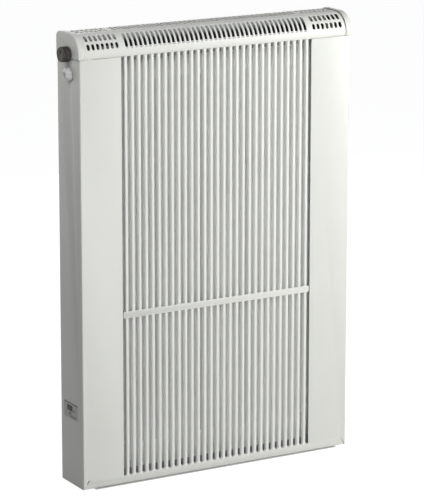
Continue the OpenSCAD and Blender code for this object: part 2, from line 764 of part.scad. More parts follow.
module bracket_screws() place() color("silver")
    for (s = [0, 1], z = arm_zs, dz = [-arm_h / 4, arm_h / 4]) mirror([s, 0, 0]) {
        face = -rail_pitch / 2 - rail_w / 2 - arm_t;
        rod_x(face - screw_head_t, face, bracket_screw_y, z + dz, screw_head_r);
        rod_x(face - cut, face + arm_t + rail_steel + screw_tip, bracket_screw_y, z + dz, bracket_screw_r);
    }

// A channel on the wall with screw holes, and hooks cut in both cheeks
module wall_rail(x) translate([x, 0, 0]) difference() {
    box([-rail_w / 2, -rail_d, rail_z0], [rail_w / 2, 0, rail_z1]);
    box([-rail_w / 2 + rail_steel, -rail_d - cut, rail_z0 - cut], [rail_w / 2 - rail_steel, -rail_steel,
        rail_z1 + cut]);
    for (z = screw_z) rod_y(-rail_steel - cut, cut, 0, z, wall_hole_r);
    bar_z = seat_z + lug_bar_h;
    box([-rail_w, lug_y0 - lug_c, seat_z], [rail_w, lug_y0 + lug_bar_w + lug_c, bar_z + hook_mouth]);
    box([-rail_w, -rail_d - cut, bar_z - mouth_dip], [rail_w, lug_y0, bar_z + hook_mouth]);
    for (z = arm_zs, dz = [-arm_h / 4, arm_h / 4])
        rod_x(-rail_w, rail_w, bracket_screw_y, z + dz, bracket_screw_r + thread_c);
}
module wall_rail_left() place() color("silver") wall_rail(rails[0]);
module wall_rail_right() place() color("silver") wall_rail(rails[1]);

module rail_buffers() place() color("dimgray") for (x = rails) {
    z = screw_z[0] + buffer_rise;
    box([x - rail_w / 2, rear_panel_back, z], [x + rail_w / 2, -rail_d, z + buffer_h]);
}

// A bar between two cheeks on the back of the rear panel, hung in a rail's hooks
module hanger_lugs() place() color("gainsboro") for (x = rails) {
    reach = rail_w / 2 + lug_gap;
    box([x - reach - cut, lug_y0, seat_z], [x + reach + cut, lug_y0 + lug_bar_w, seat_z + lug_bar_h]);
    for (s = [-1, 1]) translate([x + s * (reach + lug_cheek / 2), 0, 0])
        box([-lug_cheek / 2, rear_panel_back, seat_z - lug_bar_h], [lug_cheek / 2, lug_y0 + lug_bar_w,
            seat_z + 2 * lug_bar_h]);
}

// Outline in X and Y of the pressed channels, shrunk by a wall all round
module channel_outline(wall) {
    count = floor((panel_x1 - panel_x0 - channel_w) / channel_pitch) + 1;
    first = (panel_x0 + panel_x1 - (count - 1) * channel_pitch) / 2;
    half = channel_w / 2 - wall;
    t = panel_t / 2 - wall;
    for (k = [0 : count - 1]) translate([first + k * channel_pitch, panel_t / 2]) polygon([
        [-half, -seam_t / 4], [-half + channel_slope, -t], [half - channel_slope, -t], [half, -seam_t / 4],
        [half, seam_t / 4], [half - channel_slope, t], [-half + channel_slope, t], [-half, seam_t / 4]
    ]);
}

// A pressed panel with its front face at y = 0, and ports at the four tees on its front or back
module water_panel(port_y) difference() {
    union() {
        box([panel_x0, (panel_t - seam_t) / 2, panel_z0], [panel_x1, (panel_t + seam_t) / 2, panel_z1]);
        translate([0, 0, tee_low_z]) linear_extrude(tee_high_z - tee_low_z) channel_outline(0);
        for (z = [tee_low_z, tee_high_z])
            box([panel_x0 + seam_t, 0, z - header_h / 2], [panel_x1 - seam_t, panel_t, z + header_h / 2]);
    }
    translate([0, 0, tee_low_z]) linear_extrude(tee_high_z - tee_low_z) channel_outline(channel_wall);
    for (z = [tee_low_z, tee_high_z]) {
        box([panel_x0 + seam_t + channel_wall, channel_wall, z - header_h / 2 + channel_wall],
            [panel_x1 - seam_t - channel_wall, panel_t - channel_wall, z + header_h / 2 - channel_wall]);
        for (x = [tee_left_x, tee_right_x]) rod_y(port_y - 2 * channel_wall, port_y + 2 * channel_wall, x, z, tee_bore_r);
    }
}
module front_water_panel() place() color("gainsboro") translate([0, front_panel_y, 0]) water_panel(panel_t);
module rear_water_panel() place() color("gainsboro") translate([0, rear_panel_front, 0]) water_panel(0);

// Folded sheet standing on the back of the front panel
module convector_fins() place() color("gainsboro") {
    y0 = front_panel_back;
    y1 = rear_panel_front - fin_gap;
    x0 = tee_left_x + fin_clear;
    count = floor((tee_right_x - fin_clear - x0) / fin_pitch);
    translate([0, 0, tee_low_z + fin_base]) linear_extrude(tee_high_z - tee_low_z - 2 * fin_base)
        for (k = [0 : count - 1]) translate([x0 + k * fin_pitch, 0]) {
            translate([0, y0]) square([fin_pitch / 2 + fin_t, fin_t]);
            translate([fin_pitch / 2, y0]) square([fin_t, y1 - y0]);
            translate([fin_pitch / 2, y1 - fin_t]) square([fin_pitch / 2 + fin_t, fin_t]);
            translate([fin_pitch, y0]) square([fin_t, y1 - y0]);
        }
}

// A forged tee between the panels, with a threaded boss towards the side s
module tee(x, z, s) difference() {
    tip = x + s * boss_len;
    root = tip - s * boss_thread_len;
    union() {
        rod_y(front_panel_back, rear_panel_front, x, z, tee_r);
        rod_x(min(x, tip), max(x, tip), tee_y, z, boss_r);
    }
    rod_y(front_panel_back - cut, rear_panel_front + cut, x, z, tee_bore_r);
    rod_x(min(x, tip + s), max(x, tip + s), tee_y, z, waterway_r);
    rod_x(min(root, tip + s), max(root, tip + s), tee_y, z, thread_r);
}

module tee_top_left() place() color("gainsboro") difference() {
    top = tee_high_z + tee_r + socket_len;
    union() {
        tee(tee_left_x, tee_high_z, -1);
        difference() {
            rod_z(tee_high_z + tee_bore_r, top, tee_left_x, valve_y, boss_r);
            rod_y(front_panel_back - cut, rear_panel_front + cut, tee_left_x, tee_high_z, tee_bore_r);
        }
    }
    rod_z(tee_high_z, top + cut, tee_left_x, valve_y, waterway_r);
    rod_z(top - socket_len, top + cut, tee_left_x, valve_y, socket_r);
}
module tee_top_right() place() color("gainsboro") tee(tee_right_x, tee_high_z, 1);
module tee_bottom_left() place() color("gainsboro") difference() {
    tee(tee_left_x, tee_low_z, -1);
    rod_x(vent_boss_x - cut, return_x + connector_r, tee_y, tee_low_z, tee_r);
    rod_x(vent_boss_x - cut, ls_tail_x + thread_c, tee_y, tee_low_z, thread_r);
}
module tee_bottom_right() place() color("gainsboro") tee(tee_right_x, tee_low_z, 1);

module blanking_plugs() place() color("gold") for (z = [tee_low_z, tee_high_z]) {
    face = tee_right_x + boss_len;
    rod_x(face - boss_thread_len + thread_short, face + washer_seal_t + cut, tee_y, z, thread_r - thread_c);
    hex_x(face + washer_seal_t, face + washer_seal_t + hex_len, tee_y, z, hex_r);
}

module sealing_ring(x, z) difference() {
    rod_x(x, x + washer_seal_t, tee_y, z, boss_r - cut);
    rod_x(x - cut, x + washer_seal_t + cut, tee_y, z, thread_r);
}
module plug_seals() place() color("dimgray") {
    for (z = [tee_low_z, tee_high_z]) sealing_ring(tee_right_x + boss_len, z);
    sealing_ring(vent_boss_x - washer_seal_t, tee_high_z);
}

module valve_body() place() color("gold") difference() {
    union() {
        rod_x(valve_x0, valve_x1, valve_y, valve_z, valve_r);
        rod_y(valve_y, valve_y + valve_r + socket_len, supply_x, valve_z, connector_r - cut);
    }
    rod_x(valve_x0 - cut, seat_x, valve_y, valve_z, chamber_r);
    rod_x(valve_x0 - cut, valve_x0 + gland_thread_len, valve_y, valve_z, gland_thread_r + thread_c);
    rod_x(seat_x - cut, valve_x1, valve_y, valve_z, seat_r);
    rod_x(seat_x + seat_t, valve_x1 + cut, valve_y, valve_z, socket_r);
    rod_y(valve_y, valve_y + valve_r + socket_len + cut, supply_x, valve_z, waterway_r - cut);
    rod_y(valve_y + valve_r, valve_y + valve_r + socket_len + cut, supply_x, valve_z, socket_r);
}

// A gland nut that ends at x, with the recess of its sealing ring
module gland(x, z, y, hex_len) difference() {
    union() {
        hex_x(x - gland_thread_len - hex_len, x - gland_thread_len, y, z, gland_hex_r);
        rod_x(x - gland_thread_len - cut, x, y, z, gland_thread_r);
    }
    rod_x(x - gland_thread_len - hex_len - cut, x + cut, y, z, spindle_r + run_c);
    rod_x(x - gland_thread_len, x - gland_thread_len + seal_ring_t + 2 * run_c, y, z, spindle_r + seal_ring_t + 2 * run_c);
}
module gland_nut() place() color("gold") gland(valve_x0 + gland_thread_len, valve_z, valve_y, gland_hex_len);

module gland_seal() place() color("black")
    translate([valve_x0 + seal_ring_t / 2 + run_c, valve_y, valve_z]) rotate([0, 90, 0])
        rotate_extrude() translate([spindle_r + seal_ring_t / 2 + run_c, 0]) circle(seal_ring_t / 2);

module valve_spindle() place() color("silver")
    rod_x(knob_x0 + knob_face_t, spindle_end, valve_y, valve_z, spindle_r);

// A valve's plug with its sleeve on the spindle, from x0 to x1
module plug(x0, x1, y, z) difference() {
    union() {
        rod_x(x0, x1 - cut, y, z, sleeve_r);
        rod_x(x1 - plug_head_t, x1, y, z, plug_r);
    }
    rod_x(x0 - cut, x1 - plug_head_t, y, z, spindle_r + run_c);
}
module valve_plunger() place() color("gold") plug(plunger_x0, plunger_x1, valve_y, valve_z);
module valve_washer() place() color("black")
    rod_x(plunger_x1, plunger_x1 + washer_t, valve_y, valve_z, plug_r);

// A round knob along X with a chamfered face at x0 and a blind bore from its back
module round_knob(x0, x1, y, z, r, chamfer, face) difference() {
    translate([x0, y, z]) rotate([0, 90, 0]) rotate_extrude() polygon([
        [0, 0], [r - chamfer, 0], [r, chamfer], [r, x1 - x0], [0, x1 - x0]
    ]);
    rod_x(x0 + face, x1 + cut, y, z, spindle_r + run_c);
}
module control_knob() place() color([0.1, 0.1, 0.1]) difference() {
    round_knob(knob_x0, knob_x1, valve_y, valve_z, knob_r, knob_chamfer, knob_face_t);
    rod_z(valve_z - knob_r - cut, valve_z, (knob_x0 + knob_x1) / 2, valve_y, set_screw_r + thread_c);
}
module knob_set_screw() place() color("silver")
    rod_z(valve_z - knob_r + cut, valve_z - spindle_r - run_c, (knob_x0 + knob_x1) / 2, valve_y, set_screw_r);

// The bent pipe from the valve to the top left tee, as a rod of radius r
module outlet_route(r, over) {
    turn_x = tee_left_x - pipe_bend;
    turn_z = valve_z - pipe_bend;
    rod_x(valve_x1 - socket_len - over, turn_x, valve_y, valve_z, r);
    translate([turn_x, valve_y, turn_z]) rotate([90, 0, 0]) rotate_extrude(angle = 90)
        translate([pipe_bend, 0]) circle(r);
    rod_z(tee_high_z + tee_r - over, turn_z, tee_left_x, valve_y, r);
}
module valve_outlet_pipe() place() color("silver") difference() {
    outlet_route(pipe_r, 0);
    outlet_route(pipe_r - pipe_wall, cut);
}

// The upright supply pipe, with its offset below and its bend into the valve, as a rod of radius r
module riser_route(r, over) {
    rod_z(connector_top - socket_len - over, riser_bend_z, supply_x, tee_y, r);
    bend_yz(supply_x, tee_y + riser_bend, riser_bend_z, riser_bend, r, 90);
    bend_yz(supply_x, tee_y + riser_bend, riser_bend_z + 2 * riser_bend, riser_bend, r, 270);
    rod_z(riser_bend_z + 2 * riser_bend, valve_z - pipe_bend, supply_x, riser_y, r);
    bend_yz(supply_x, riser_y - pipe_bend, valve_z - pipe_bend, pipe_bend, r, 0);
    if (riser_y - pipe_bend > valve_y + valve_r - over)
        rod_y(valve_y + valve_r - over, riser_y - pipe_bend, supply_x, valve_z, r);
}
module supply_riser() place() color("silver") difference() {
    riser_route(pipe_r, 0);
    riser_route(pipe_r - pipe_wall, cut);
}

module supply_connector() place() color("gold") difference() {
    rod_z(connection_z, connector_top, supply_x, tee_y, connector_r);
    rod_z(connection_z - cut, connection_z + connection_thread, supply_x, tee_y, thread_r);
    rod_z(connection_z, connector_top + cut, supply_x, tee_y, waterway_r);
    rod_z(connector_top - socket_len, connector_top + cut, supply_x, tee_y, socket_r);
}

module supply_nut() place() color("gold") difference() {
    translate([supply_x, tee_y, connector_top]) cylinder(h = nut_len, r = nut_r, $fn = 6);
    rod_z(connector_top - cut, connector_top + nut_len + cut, supply_x, tee_y, socket_r);
}

module connection_plate() place() color("silver") difference() {
    z0 = connection_z + plate_rise;
    edge = connector_r + plate_margin;
    box([supply_x - edge, tee_y - edge, z0], [return_x + edge, rear_panel_front, z0 + plate_t]);
    for (x = [supply_x, return_x]) rod_z(z0 - cut, z0 + plate_t + cut, x, tee_y, connector_r + thread_c);
}

module vent_plug() place() color("gold") difference() {
    union() {
        hex_x(vent_hex_x1 - hex_len, vent_hex_x1, tee_y, tee_high_z, hex_r);
        rod_x(vent_hex_x1 - cut, vent_seat_x + orifice_len, tee_y, tee_high_z, thread_r - thread_c);
    }
    rod_x(vent_hex_x1 - hex_len - cut, vent_seat_x, tee_y, tee_high_z, spindle_r + run_c);
    rod_x(vent_seat_x - cut, vent_boss_x + boss_thread_len, tee_y, tee_high_z, orifice_r);
}
module vent_needle() place() color("silver") {
    rod_x(needle_x1 - needle_len, needle_x1 - needle_tip, tee_y, tee_high_z, needle_r);
    translate([needle_x1 - needle_tip, tee_y, tee_high_z]) rotate([0, 90, 0])
        cylinder(h = needle_tip, r1 = needle_r, r2 = orifice_r);
}
module vent_stem() place() color("silver") difference() {
    rod_x(dial_x0 + dial_chamfer, stem_end, tee_y, tee_high_z, spindle_r);
    rod_x(needle_x1 - needle_len - vent_lift - 1, stem_end + cut, tee_y, tee_high_z, needle_r + run_c);
}
module vent_knob() place() color("white")
    round_knob(dial_x0, dial_x1, tee_y, tee_high_z, dial_r, dial_chamfer, dial_chamfer);

module lockshield_body() place() color("gold") difference() {
    union() {
        rod_z(connection_z, tee_low_z, return_x, tee_y, connector_r);
        rod_x(ls_gland_x1 - gland_thread_len, return_x + connector_r, tee_y, tee_low_z, connector_r);
        rod_x(return_x, ls_tail_x, tee_y, tee_low_z, thread_r - thread_c);
    }
    rod_z(connection_z - cut, connection_z + connection_thread, return_x, tee_y, thread_r);
    rod_z(connection_z, tee_low_z, return_x, tee_y, waterway_r);
    rod_x(ls_gland_x1 - gland_thread_len - cut, ls_seat_x, tee_y, tee_low_z, chamber_r);
    rod_x(ls_gland_x1 - gland_thread_len - cut, ls_gland_x1, tee_y, tee_low_z, gland_thread_r + thread_c);
    rod_x(ls_seat_x - cut, tee_left_x, tee_y, tee_low_z, seat_r);
}
module lockshield_gland() place() color("gold") gland(ls_gland_x1, tee_low_z, tee_y, ls_hex_len);
module lockshield_spindle() place() color("silver")
    rod_x(ls_hex_x0 - ls_cap_len + ls_head_gap, ls_spindle_end, tee_y, tee_low_z, spindle_r);
module lockshield_plug() place() color("gold") plug(ls_plug_x0, ls_plug_x1, tee_y, tee_low_z);
module lockshield_cap() place() color("whitesmoke") difference() {
    rod_x(ls_hex_x0 - ls_cap_len, ls_hex_x0, tee_y, tee_low_z, ls_cap_r);
    rod_x(ls_hex_x0 - ls_cap_len + ls_cap_wall, ls_hex_x0 + cut, tee_y, tee_low_z, ls_cap_r - ls_cap_wall);
}

casing_shell();
hood_cover();
hood_end_cap_left();
hood_end_cap_right();
grille_bars();
grille_crossbar();
grille_top_rail();
grille_bottom_rail();
data_plate();
casing_hooks();
casing_brackets();
bracket_screws();
wall_rail_left();
wall_rail_right();
rail_buffers();
hanger_lugs();
front_water_panel();
rear_water_panel();
convector_fins();
tee_top_left();
tee_top_right();
tee_bottom_left();
tee_bottom_right();
blanking_plugs();
plug_seals();
valve_body();
gland_nut();
gland_seal();
valve_spindle();
valve_plunger();
valve_washer();
control_knob();
knob_set_screw();
valve_outlet_pipe();
supply_riser();
supply_connector();
supply_nut();
connection_plate();
vent_plug();
vent_needle();
vent_stem();
vent_knob();
lockshield_body();
lockshield_gland();
lockshield_spindle();
lockshield_plug();
lockshield_cap();
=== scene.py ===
# %% [markdown]
# # A slatted radiator casing
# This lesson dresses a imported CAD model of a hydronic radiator. The CAD gives every piece its place in
# metres, with +Z up, +X to the right and the wall behind at +Y, so nothing has to be fitted by eye. Each
# step below first says what the real piece or finish is, and then makes it.

# %% Load the fixed frame
import json
import math

import bmesh
import bpy
from mathutils import Matrix, Vector
from mathutils.geometry import delaunay_2d_cdt


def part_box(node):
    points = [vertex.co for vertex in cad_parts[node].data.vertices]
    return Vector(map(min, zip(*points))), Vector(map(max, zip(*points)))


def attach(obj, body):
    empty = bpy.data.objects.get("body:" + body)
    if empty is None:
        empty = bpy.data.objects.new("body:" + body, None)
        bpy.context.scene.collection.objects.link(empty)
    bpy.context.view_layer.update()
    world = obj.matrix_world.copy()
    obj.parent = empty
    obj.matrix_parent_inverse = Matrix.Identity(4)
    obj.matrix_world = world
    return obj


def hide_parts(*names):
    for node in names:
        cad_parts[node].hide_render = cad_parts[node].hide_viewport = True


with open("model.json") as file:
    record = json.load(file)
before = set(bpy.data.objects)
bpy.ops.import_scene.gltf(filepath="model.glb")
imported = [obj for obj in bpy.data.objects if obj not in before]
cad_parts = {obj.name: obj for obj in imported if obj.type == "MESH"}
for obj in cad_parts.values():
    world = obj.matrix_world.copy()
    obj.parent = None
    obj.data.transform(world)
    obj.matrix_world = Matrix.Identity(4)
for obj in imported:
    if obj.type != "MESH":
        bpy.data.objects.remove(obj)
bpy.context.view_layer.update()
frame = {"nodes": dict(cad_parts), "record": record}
MM = 0.001

# %% [markdown]
# # The camera
# A product photograph of a tall flat thing is taken from far away with a long lens, so that the edges stay
# almost parallel. Where the camera stood was worked out from the corners of the casing. It could be placed
# by dragging it in the viewport, but three directions written as the columns of a matrix say exactly where
# it looks.

# %% Place the camera
IMAGE_H, FOCAL_PX = 500, 2796.774
SENSOR_MM, SHIFT_X, SHIFT_Y = 36, -0.0169, -0.1
CAMERA_AT = (-2.6427, -4.7098, 1.2996)
AZIMUTH, ELEVATION, ROLL = 29.831, 12.706, 0.068
SEES_AS_FAR_AS = 50


def looking(azimuth, elevation, roll):
    """Right, up and back of a camera that looks along +Y, turned by the three angles in degrees."""
    a, e, t = (math.radians(v) for v in (azimuth, elevation, roll))
    ahead = Vector((math.sin(a) * math.cos(e), math.cos(a) * math.cos(e), -math.sin(e)))
    right = Vector((math.cos(a), -math.sin(a), 0))
    up = right.cross(ahead)
    return math.cos(t) * right + math.sin(t) * up, math.cos(t) * up - math.sin(t) * right, -ahead


lens = bpy.data.cameras.new("long_lens")
lens.sensor_width = SENSOR_MM
lens.lens = FOCAL_PX * SENSOR_MM / IMAGE_H
lens.shift_x = SHIFT_X
lens.shift_y = SHIFT_Y
lens.clip_end = SEES_AS_FAR_AS
camera = bpy.data.objects.new("camera", lens)
bpy.context.scene.collection.objects.link(camera)
facing = Matrix(looking(AZIMUTH, ELEVATION, ROLL)).transposed().to_4x4()
camera.matrix_world = Matrix.Translation(CAMERA_AT) @ facing
bpy.context.scene.camera = camera
print("lens", round(lens.lens, 1), "mm")

# %% [markdown]
# # Small tools for nodes
# Every material and every node tree is built from the same two steps: add a node, then set or link its
# inputs. One function does both. Colours are written as the hex values that a paint chart gives, and one
# function turns them to the linear light that the renderer works in.


# %% Helpers
def add(tree, kind, inputs=(), **settings):
    """Adds a node, sets its settings, and links or sets its inputs, given by name or in their order."""
    made = tree.nodes.new(kind)
    for name, value in settings.items():
        setattr(made, name, value)
    for name, value in inputs.items() if isinstance(inputs, dict) else enumerate(inputs):
        if isinstance(value, bpy.types.NodeSocket):
            tree.links.new(value, made.inputs[name])
        else:
            made.inputs[name].default_value = value
    return made


def linear(hex_text):
    """An sRGB hex colour as linear RGBA."""
    parts = [int(hex_text[i : i + 2], 16) / 255 for i in (1, 3, 5)]
    return tuple(c / 12.92 if c < 0.04045 else ((c + 0.055) / 1.055) ** 2.4 for c in parts) + (1.0,)


def link(obj):
    """Puts an object in the scene."""
    bpy.context.scene.collection.objects.link(obj)
    return obj


WHITE = (1, 1, 1, 1)
print("mid grey in linear light", round(linear("#808080")[0], 3))

# %% [markdown]
# # A white studio
# The casing was cut out on white. The world is white only for the camera, for reflections and through
# glass, and as a light it is a dim dome, a little brighter above than below, that fills the shadows.

# %% World
world = bpy.data.worlds.new("white_studio")
bpy.context.scene.world = world
bpy.context.scene.view_settings.view_transform = "Standard"
world.use_nodes = True
sky = world.node_tree
sky.nodes.clear()
DOME_LOW, DOME_HIGH = 0.08, 0.18
DOME_FROM, DOME_TO = -0.4, 0.9  # how far a direction points up where the dome starts and stops to brighten


def looked_at(tree):
    """1 for a ray from the camera, from a reflection or through glass, and 0 for a ray that carries light."""
    ray = add(tree, "ShaderNodeLightPath").outputs
    shine, glass = ray["Is Glossy Ray"], ray["Is Transmission Ray"]
    either = add(tree, "ShaderNodeMath", (shine, glass), operation="MAXIMUM").outputs[0]
    return add(tree, "ShaderNodeMath", (ray["Is Camera Ray"], either), operation="MAXIMUM").outputs[0]


way = add(sky, "ShaderNodeSeparateXYZ", (add(sky, "ShaderNodeTexCoord").outputs["Generated"],))
dome = add(sky, "ShaderNodeMapRange", (way.outputs["Z"], DOME_FROM, DOME_TO, DOME_LOW, DOME_HIGH))
soft = add(sky, "ShaderNodeBackground", {"Color": linear("#F4F6FA"), "Strength": dome.outputs[0]})
white = add(sky, "ShaderNodeBackground", {"Color": WHITE, "Strength": 1.0})
either = add(sky, "ShaderNodeMixShader", (looked_at(sky), soft.outputs[0], white.outputs[0]))
add(sky, "ShaderNodeOutputWorld", {"Surface": either.outputs[0]})
print("world nodes", len(sky.nodes))

# %% [markdown]
# # A paper floor
# The floor is a large sheet of paper. Most of its brightness is a lift that only the camera and reflections
# see, so it looks white, keeps the shadow under the radiator and throws little light back up. The lift is
# taken away in a box under the radiator that reaches a few millimetres in front of it: under the casing the
# floor keeps its own shading, and the box's front edge draws a painted contact shadow along the bottom.

# %% Floor
FLOOR_Z, FLOOR_HALF, LIFT = -0.4455, 30, 0.92
SHADOW_BOX_Y, SHADOW_BOX_HALF_Y, SHADOW_BOX_HALF_X = -0.048, 0.052, 0.278
FADE_FROM, FADE_TO = -0.008, 0.004
floor_paper = bpy.data.materials.new("studio_paper_floor")
floor_paper.use_nodes = True
paper = floor_paper.node_tree
paper.nodes.clear()


def beyond(tree, value, middle, half):
    """How far a coordinate lies outside a span, in metres."""
    away = add(tree, "ShaderNodeMath", (value, middle), operation="SUBTRACT")
    size = add(tree, "ShaderNodeMath", (away.outputs[0],), operation="ABSOLUTE")
    return add(tree, "ShaderNodeMath", (size.outputs[0], half), operation="SUBTRACT").outputs[0]


spot = add(paper, "ShaderNodeSeparateXYZ", (add(paper, "ShaderNodeTexCoord").outputs["Object"],))
beside = beyond(paper, spot.outputs["X"], 0.0, SHADOW_BOX_HALF_X)
before = beyond(paper, spot.outputs["Y"], SHADOW_BOX_Y, SHADOW_BOX_HALF_Y)
outside = add(paper, "ShaderNodeMath", (beside, before), operation="MAXIMUM").outputs[0]
# The lift fades in at the box's edge, which paints a thin contact shadow in front of the casing.
outside_painted_shadow = add(paper, "ShaderNodeMapRange", (outside, FADE_FROM, FADE_TO), interpolation_type="SMOOTHSTEP")
lifted = add(paper, "ShaderNodeMath", (looked_at(paper), outside_painted_shadow.outputs[0]), operation="MULTIPLY")
lift = add(paper, "ShaderNodeMath", (lifted.outputs[0], LIFT), operation="MULTIPLY")
matt = add(paper, "ShaderNodeBsdfDiffuse", {"Color": linear("#A8A8A8")})
glow = add(paper, "ShaderNodeEmission", {"Color": WHITE, "Strength": lift.outputs[0]})
both = add(paper, "ShaderNodeAddShader", (matt.outputs[0], glow.outputs[0]))
add(paper, "ShaderNodeOutputMaterial", {"Surface": both.outputs[0]})
floor_mesh = bpy.data.meshes.new("floor")
ends = [(x * FLOOR_HALF, y * FLOOR_HALF, FLOOR_Z) for x, y in ((-1, -1), (1, -1), (1, 1), (-1, 1))]
floor_mesh.from_pydata(ends, [], [(0, 1, 2, 3)])
floor_mesh.materials.append(floor_paper)
floor = link(bpy.data.objects.new("floor", floor_mesh))
print("floor at", FLOOR_Z)

# %% [markdown]
# # Four soft lamps
# A softbox is a lamp behind a square of white cloth, and the larger it looks from the object, the softer
# its shadows are. The key stands high on the right and lights the hood and the front. A large one far in
# front, level with the middle, evens out the front and reaches between the bars. A small one high on the
# left brightens the side panel's upper half, and one behind the wall's place shows the back in other views.


# %% Lamps
def softbox(name, place, aim, size, power):
    """A square lamp at a place, turned to face a point."""
    lamp = bpy.data.lights.new(name, "AREA")
    lamp.shape = "SQUARE"
    lamp.size = size
    lamp.energy = power
    box = link(bpy.data.objects.new(name, lamp))
    box.location = place
    box.rotation_euler = (Vector(aim) - Vector(place)).to_track_quat("-Z", "Y").to_euler()
    return box


softbox("key_softbox", place=(1.05, -1.12, 0.66), aim=(0.23, 0, 0.11), size=0.75, power=17)
softbox("front_softbox", place=(0.05, -2.6, 0.0), aim=(0, 0, 0), size=1.2, power=24)
softbox("side_softbox", place=(-0.9, -0.25, 0.9), aim=(-0.3, 0, 0.4), size=0.5, power=2.4)
softbox("back_softbox", place=(0.4, 2.6, 0.1), aim=(0, 0, 0), size=1.4, power=20)

# %% [markdown]
# # Grain that reads real millimetres
# Paint, plating and moulded plastic all have a fine unevenness that sets both the gloss and tiny bumps, and
# a slow drift of colour over a larger stretch. It could be a picture, but noise that reads the object's own
# millimetres has the right scale on every piece and needs no unwrap.


# %% Parts that every finish shares
def surface(name):
    """A new material with a Principled shader, its tree, and the object's own coordinates."""
    made = bpy.data.materials.new(name)
    made.use_nodes = True
    tree = made.node_tree
    tree.nodes.clear()
    shader = add(tree, "ShaderNodeBsdfPrincipled")
    add(tree, "ShaderNodeOutputMaterial", {"Surface": shader.outputs[0]})
    return made, tree, shader, add(tree, "ShaderNodeTexCoord").outputs["Object"]


def opened(material):
    """The tree, the shader and the object coordinates of a finish that was made before."""
    nodes = material.node_tree.nodes
    return material.node_tree, nodes["Principled BSDF"], nodes["Texture Coordinate"].outputs["Object"]


def drifting(tree, shader, place, low, high, size_mm, detail=2.0):
    """Lets the colour drift between two hex values over clouds of a size in millimetres."""
    cloud = add(tree, "ShaderNodeTexNoise", {"Vector": place, "Scale": 1000 / size_mm, "Detail": detail})
    share = cloud.outputs["Fac"]
    mix = add(tree, "ShaderNodeMix", {0: share, 6: linear(low), 7: linear(high)}, data_type="RGBA")
    tree.links.new(mix.outputs[2], shader.inputs["Base Color"])


def grained(tree, shader, place, rough, size_mm, depth_mm, spread, detail):
    """Lets one fine noise set the gloss, by a spread either way, and bumps of a depth in millimetres."""
    grain = add(tree, "ShaderNodeTexNoise", {"Vector": place, "Scale": 1000 / size_mm, "Detail": detail})
    height = grain.outputs["Fac"]
    gloss = add(tree, "ShaderNodeMapRange", (height, 0.0, 1.0, rough - spread, rough + spread))
    bump = add(tree, "ShaderNodeBump", {"Height": height, "Distance": depth_mm * MM, "Strength": 1.0})
    tree.links.new(gloss.outputs[0], shader.inputs["Roughness"])
    tree.links.new(bump.outputs[0], shader.inputs["Normal"])


print("grain of 2.4 mm has scale", round(1000 / 2.4))

# %% [markdown]
# # Powder coat
# The casing is steel sheet that was sprayed with dry powder and baked. The powder melts into a skin with a
# satin sheen and a very slight unevenness that painters call orange peel, about 2 mm from crest to crest.
# The bars are given a whiter colour than the sheet, as painted light for the light their round noses catch,
# and a glossier coat of their own. The water panels were dipped in primer, which is white, flat and a little
# coarser. The end caps are moulded close to the sheet's colour, with a more even and duller sheen. The steel
# inside the upper casing is given a near-black colour, and the strip behind the bars' tops a mid grey, as
# painted shade.

# %% Painted steel, and painted shade
PLASTIC_IOR, DRIFT_MM = 1.5, 1000 / 9


def coated(name, low, high, rough, peel_mm, peel_depth_mm, gloss=0.5):
    """A painted surface: colour drift over a hand's width, and orange peel with a real pitch."""
    made, tree, shader, place = surface(name)
    drifting(tree, shader, place, low, high, DRIFT_MM)
    grained(tree, shader, place, rough, peel_mm, peel_depth_mm, spread=0.05, detail=1.0)
    shader.inputs["IOR"].default_value = PLASTIC_IOR
    shader.inputs["Specular IOR Level"].default_value = gloss
    return made


powder_coat = coated("powder_coated_steel", "#E0E1DA", "#E6E7E1", 0.36, 2.4, 0.02)
# The bars' colour is whiter than the sheet's, as painted light for the light their round noses catch.
bar_coat_painted_lighter = coated("powder_coated_bar", "#F1F2ED", "#F6F7F3", 0.3, 2.4, 0.01)
panel_paint = coated("dipped_primer_on_pressed_steel", "#E6E7E4", "#ECEDEA", 0.45, 3.0, 0.03)
cap_plastic = coated("moulded_abs_cap", "#DCDDD6", "#E2E3DC", 0.42, 1.2, 0.01)
# A near-black finish, as painted shade for the dark inside under the hood.
shade_dark_inside = coated("phosphated_steel_inside", "#1E1F1E", "#282927", 0.6, 1.6, 0.02, 0.3)
# A mid grey, as painted shade for the strip behind the bars' tops under the hood.
shade_grey_strip = coated("phosphated_steel_strip", "#83847F", "#8E8F8A", 0.55, 1.6, 0.02, 0.3)
print("painted", [m.name for m in (powder_coat, bar_coat_painted_lighter, panel_paint, cap_plastic, shade_dark_inside, shade_grey_strip)])

# %% [markdown]
# # Painted shade inside the hood
# The hood's inside is given a near-black colour below and the sheet's paint colour above, mixed by height.
# The dark lower part is painted shade, which is why a slot is black below and pale above.

# %% Inside of the hood, with painted shade below
# Below these heights the inside is near black, as painted shade; above them it takes the paint colour.
SHADE_FADES_FROM, SHADE_FADES_TO, UPPER_PAINT_COLOUR = 0.413, 0.427, "#E6E7E1"
inside_shade_graded = coated("phosphated_steel_with_overspray", "#1E1F1E", "#282927", 0.6, 1.6, 0.02, 0.3)
shade_tree, shade_shader, shade_place = opened(inside_shade_graded)
height = add(shade_tree, "ShaderNodeSeparateXYZ", (shade_place,)).outputs["Z"]
cover = add(shade_tree, "ShaderNodeMapRange", (height, SHADE_FADES_FROM, SHADE_FADES_TO), interpolation_type="SMOOTHSTEP")
steel = shade_shader.inputs["Base Color"].links[0].from_socket
shade_graded_colour = add(shade_tree, "ShaderNodeMix", {0: cover.outputs[0], 6: steel, 7: linear(UPPER_PAINT_COLOUR)}, data_type="RGBA")
shade_tree.links.new(shade_graded_colour.outputs[2], shade_shader.inputs["Base Color"])
print(inside_shade_graded.name)

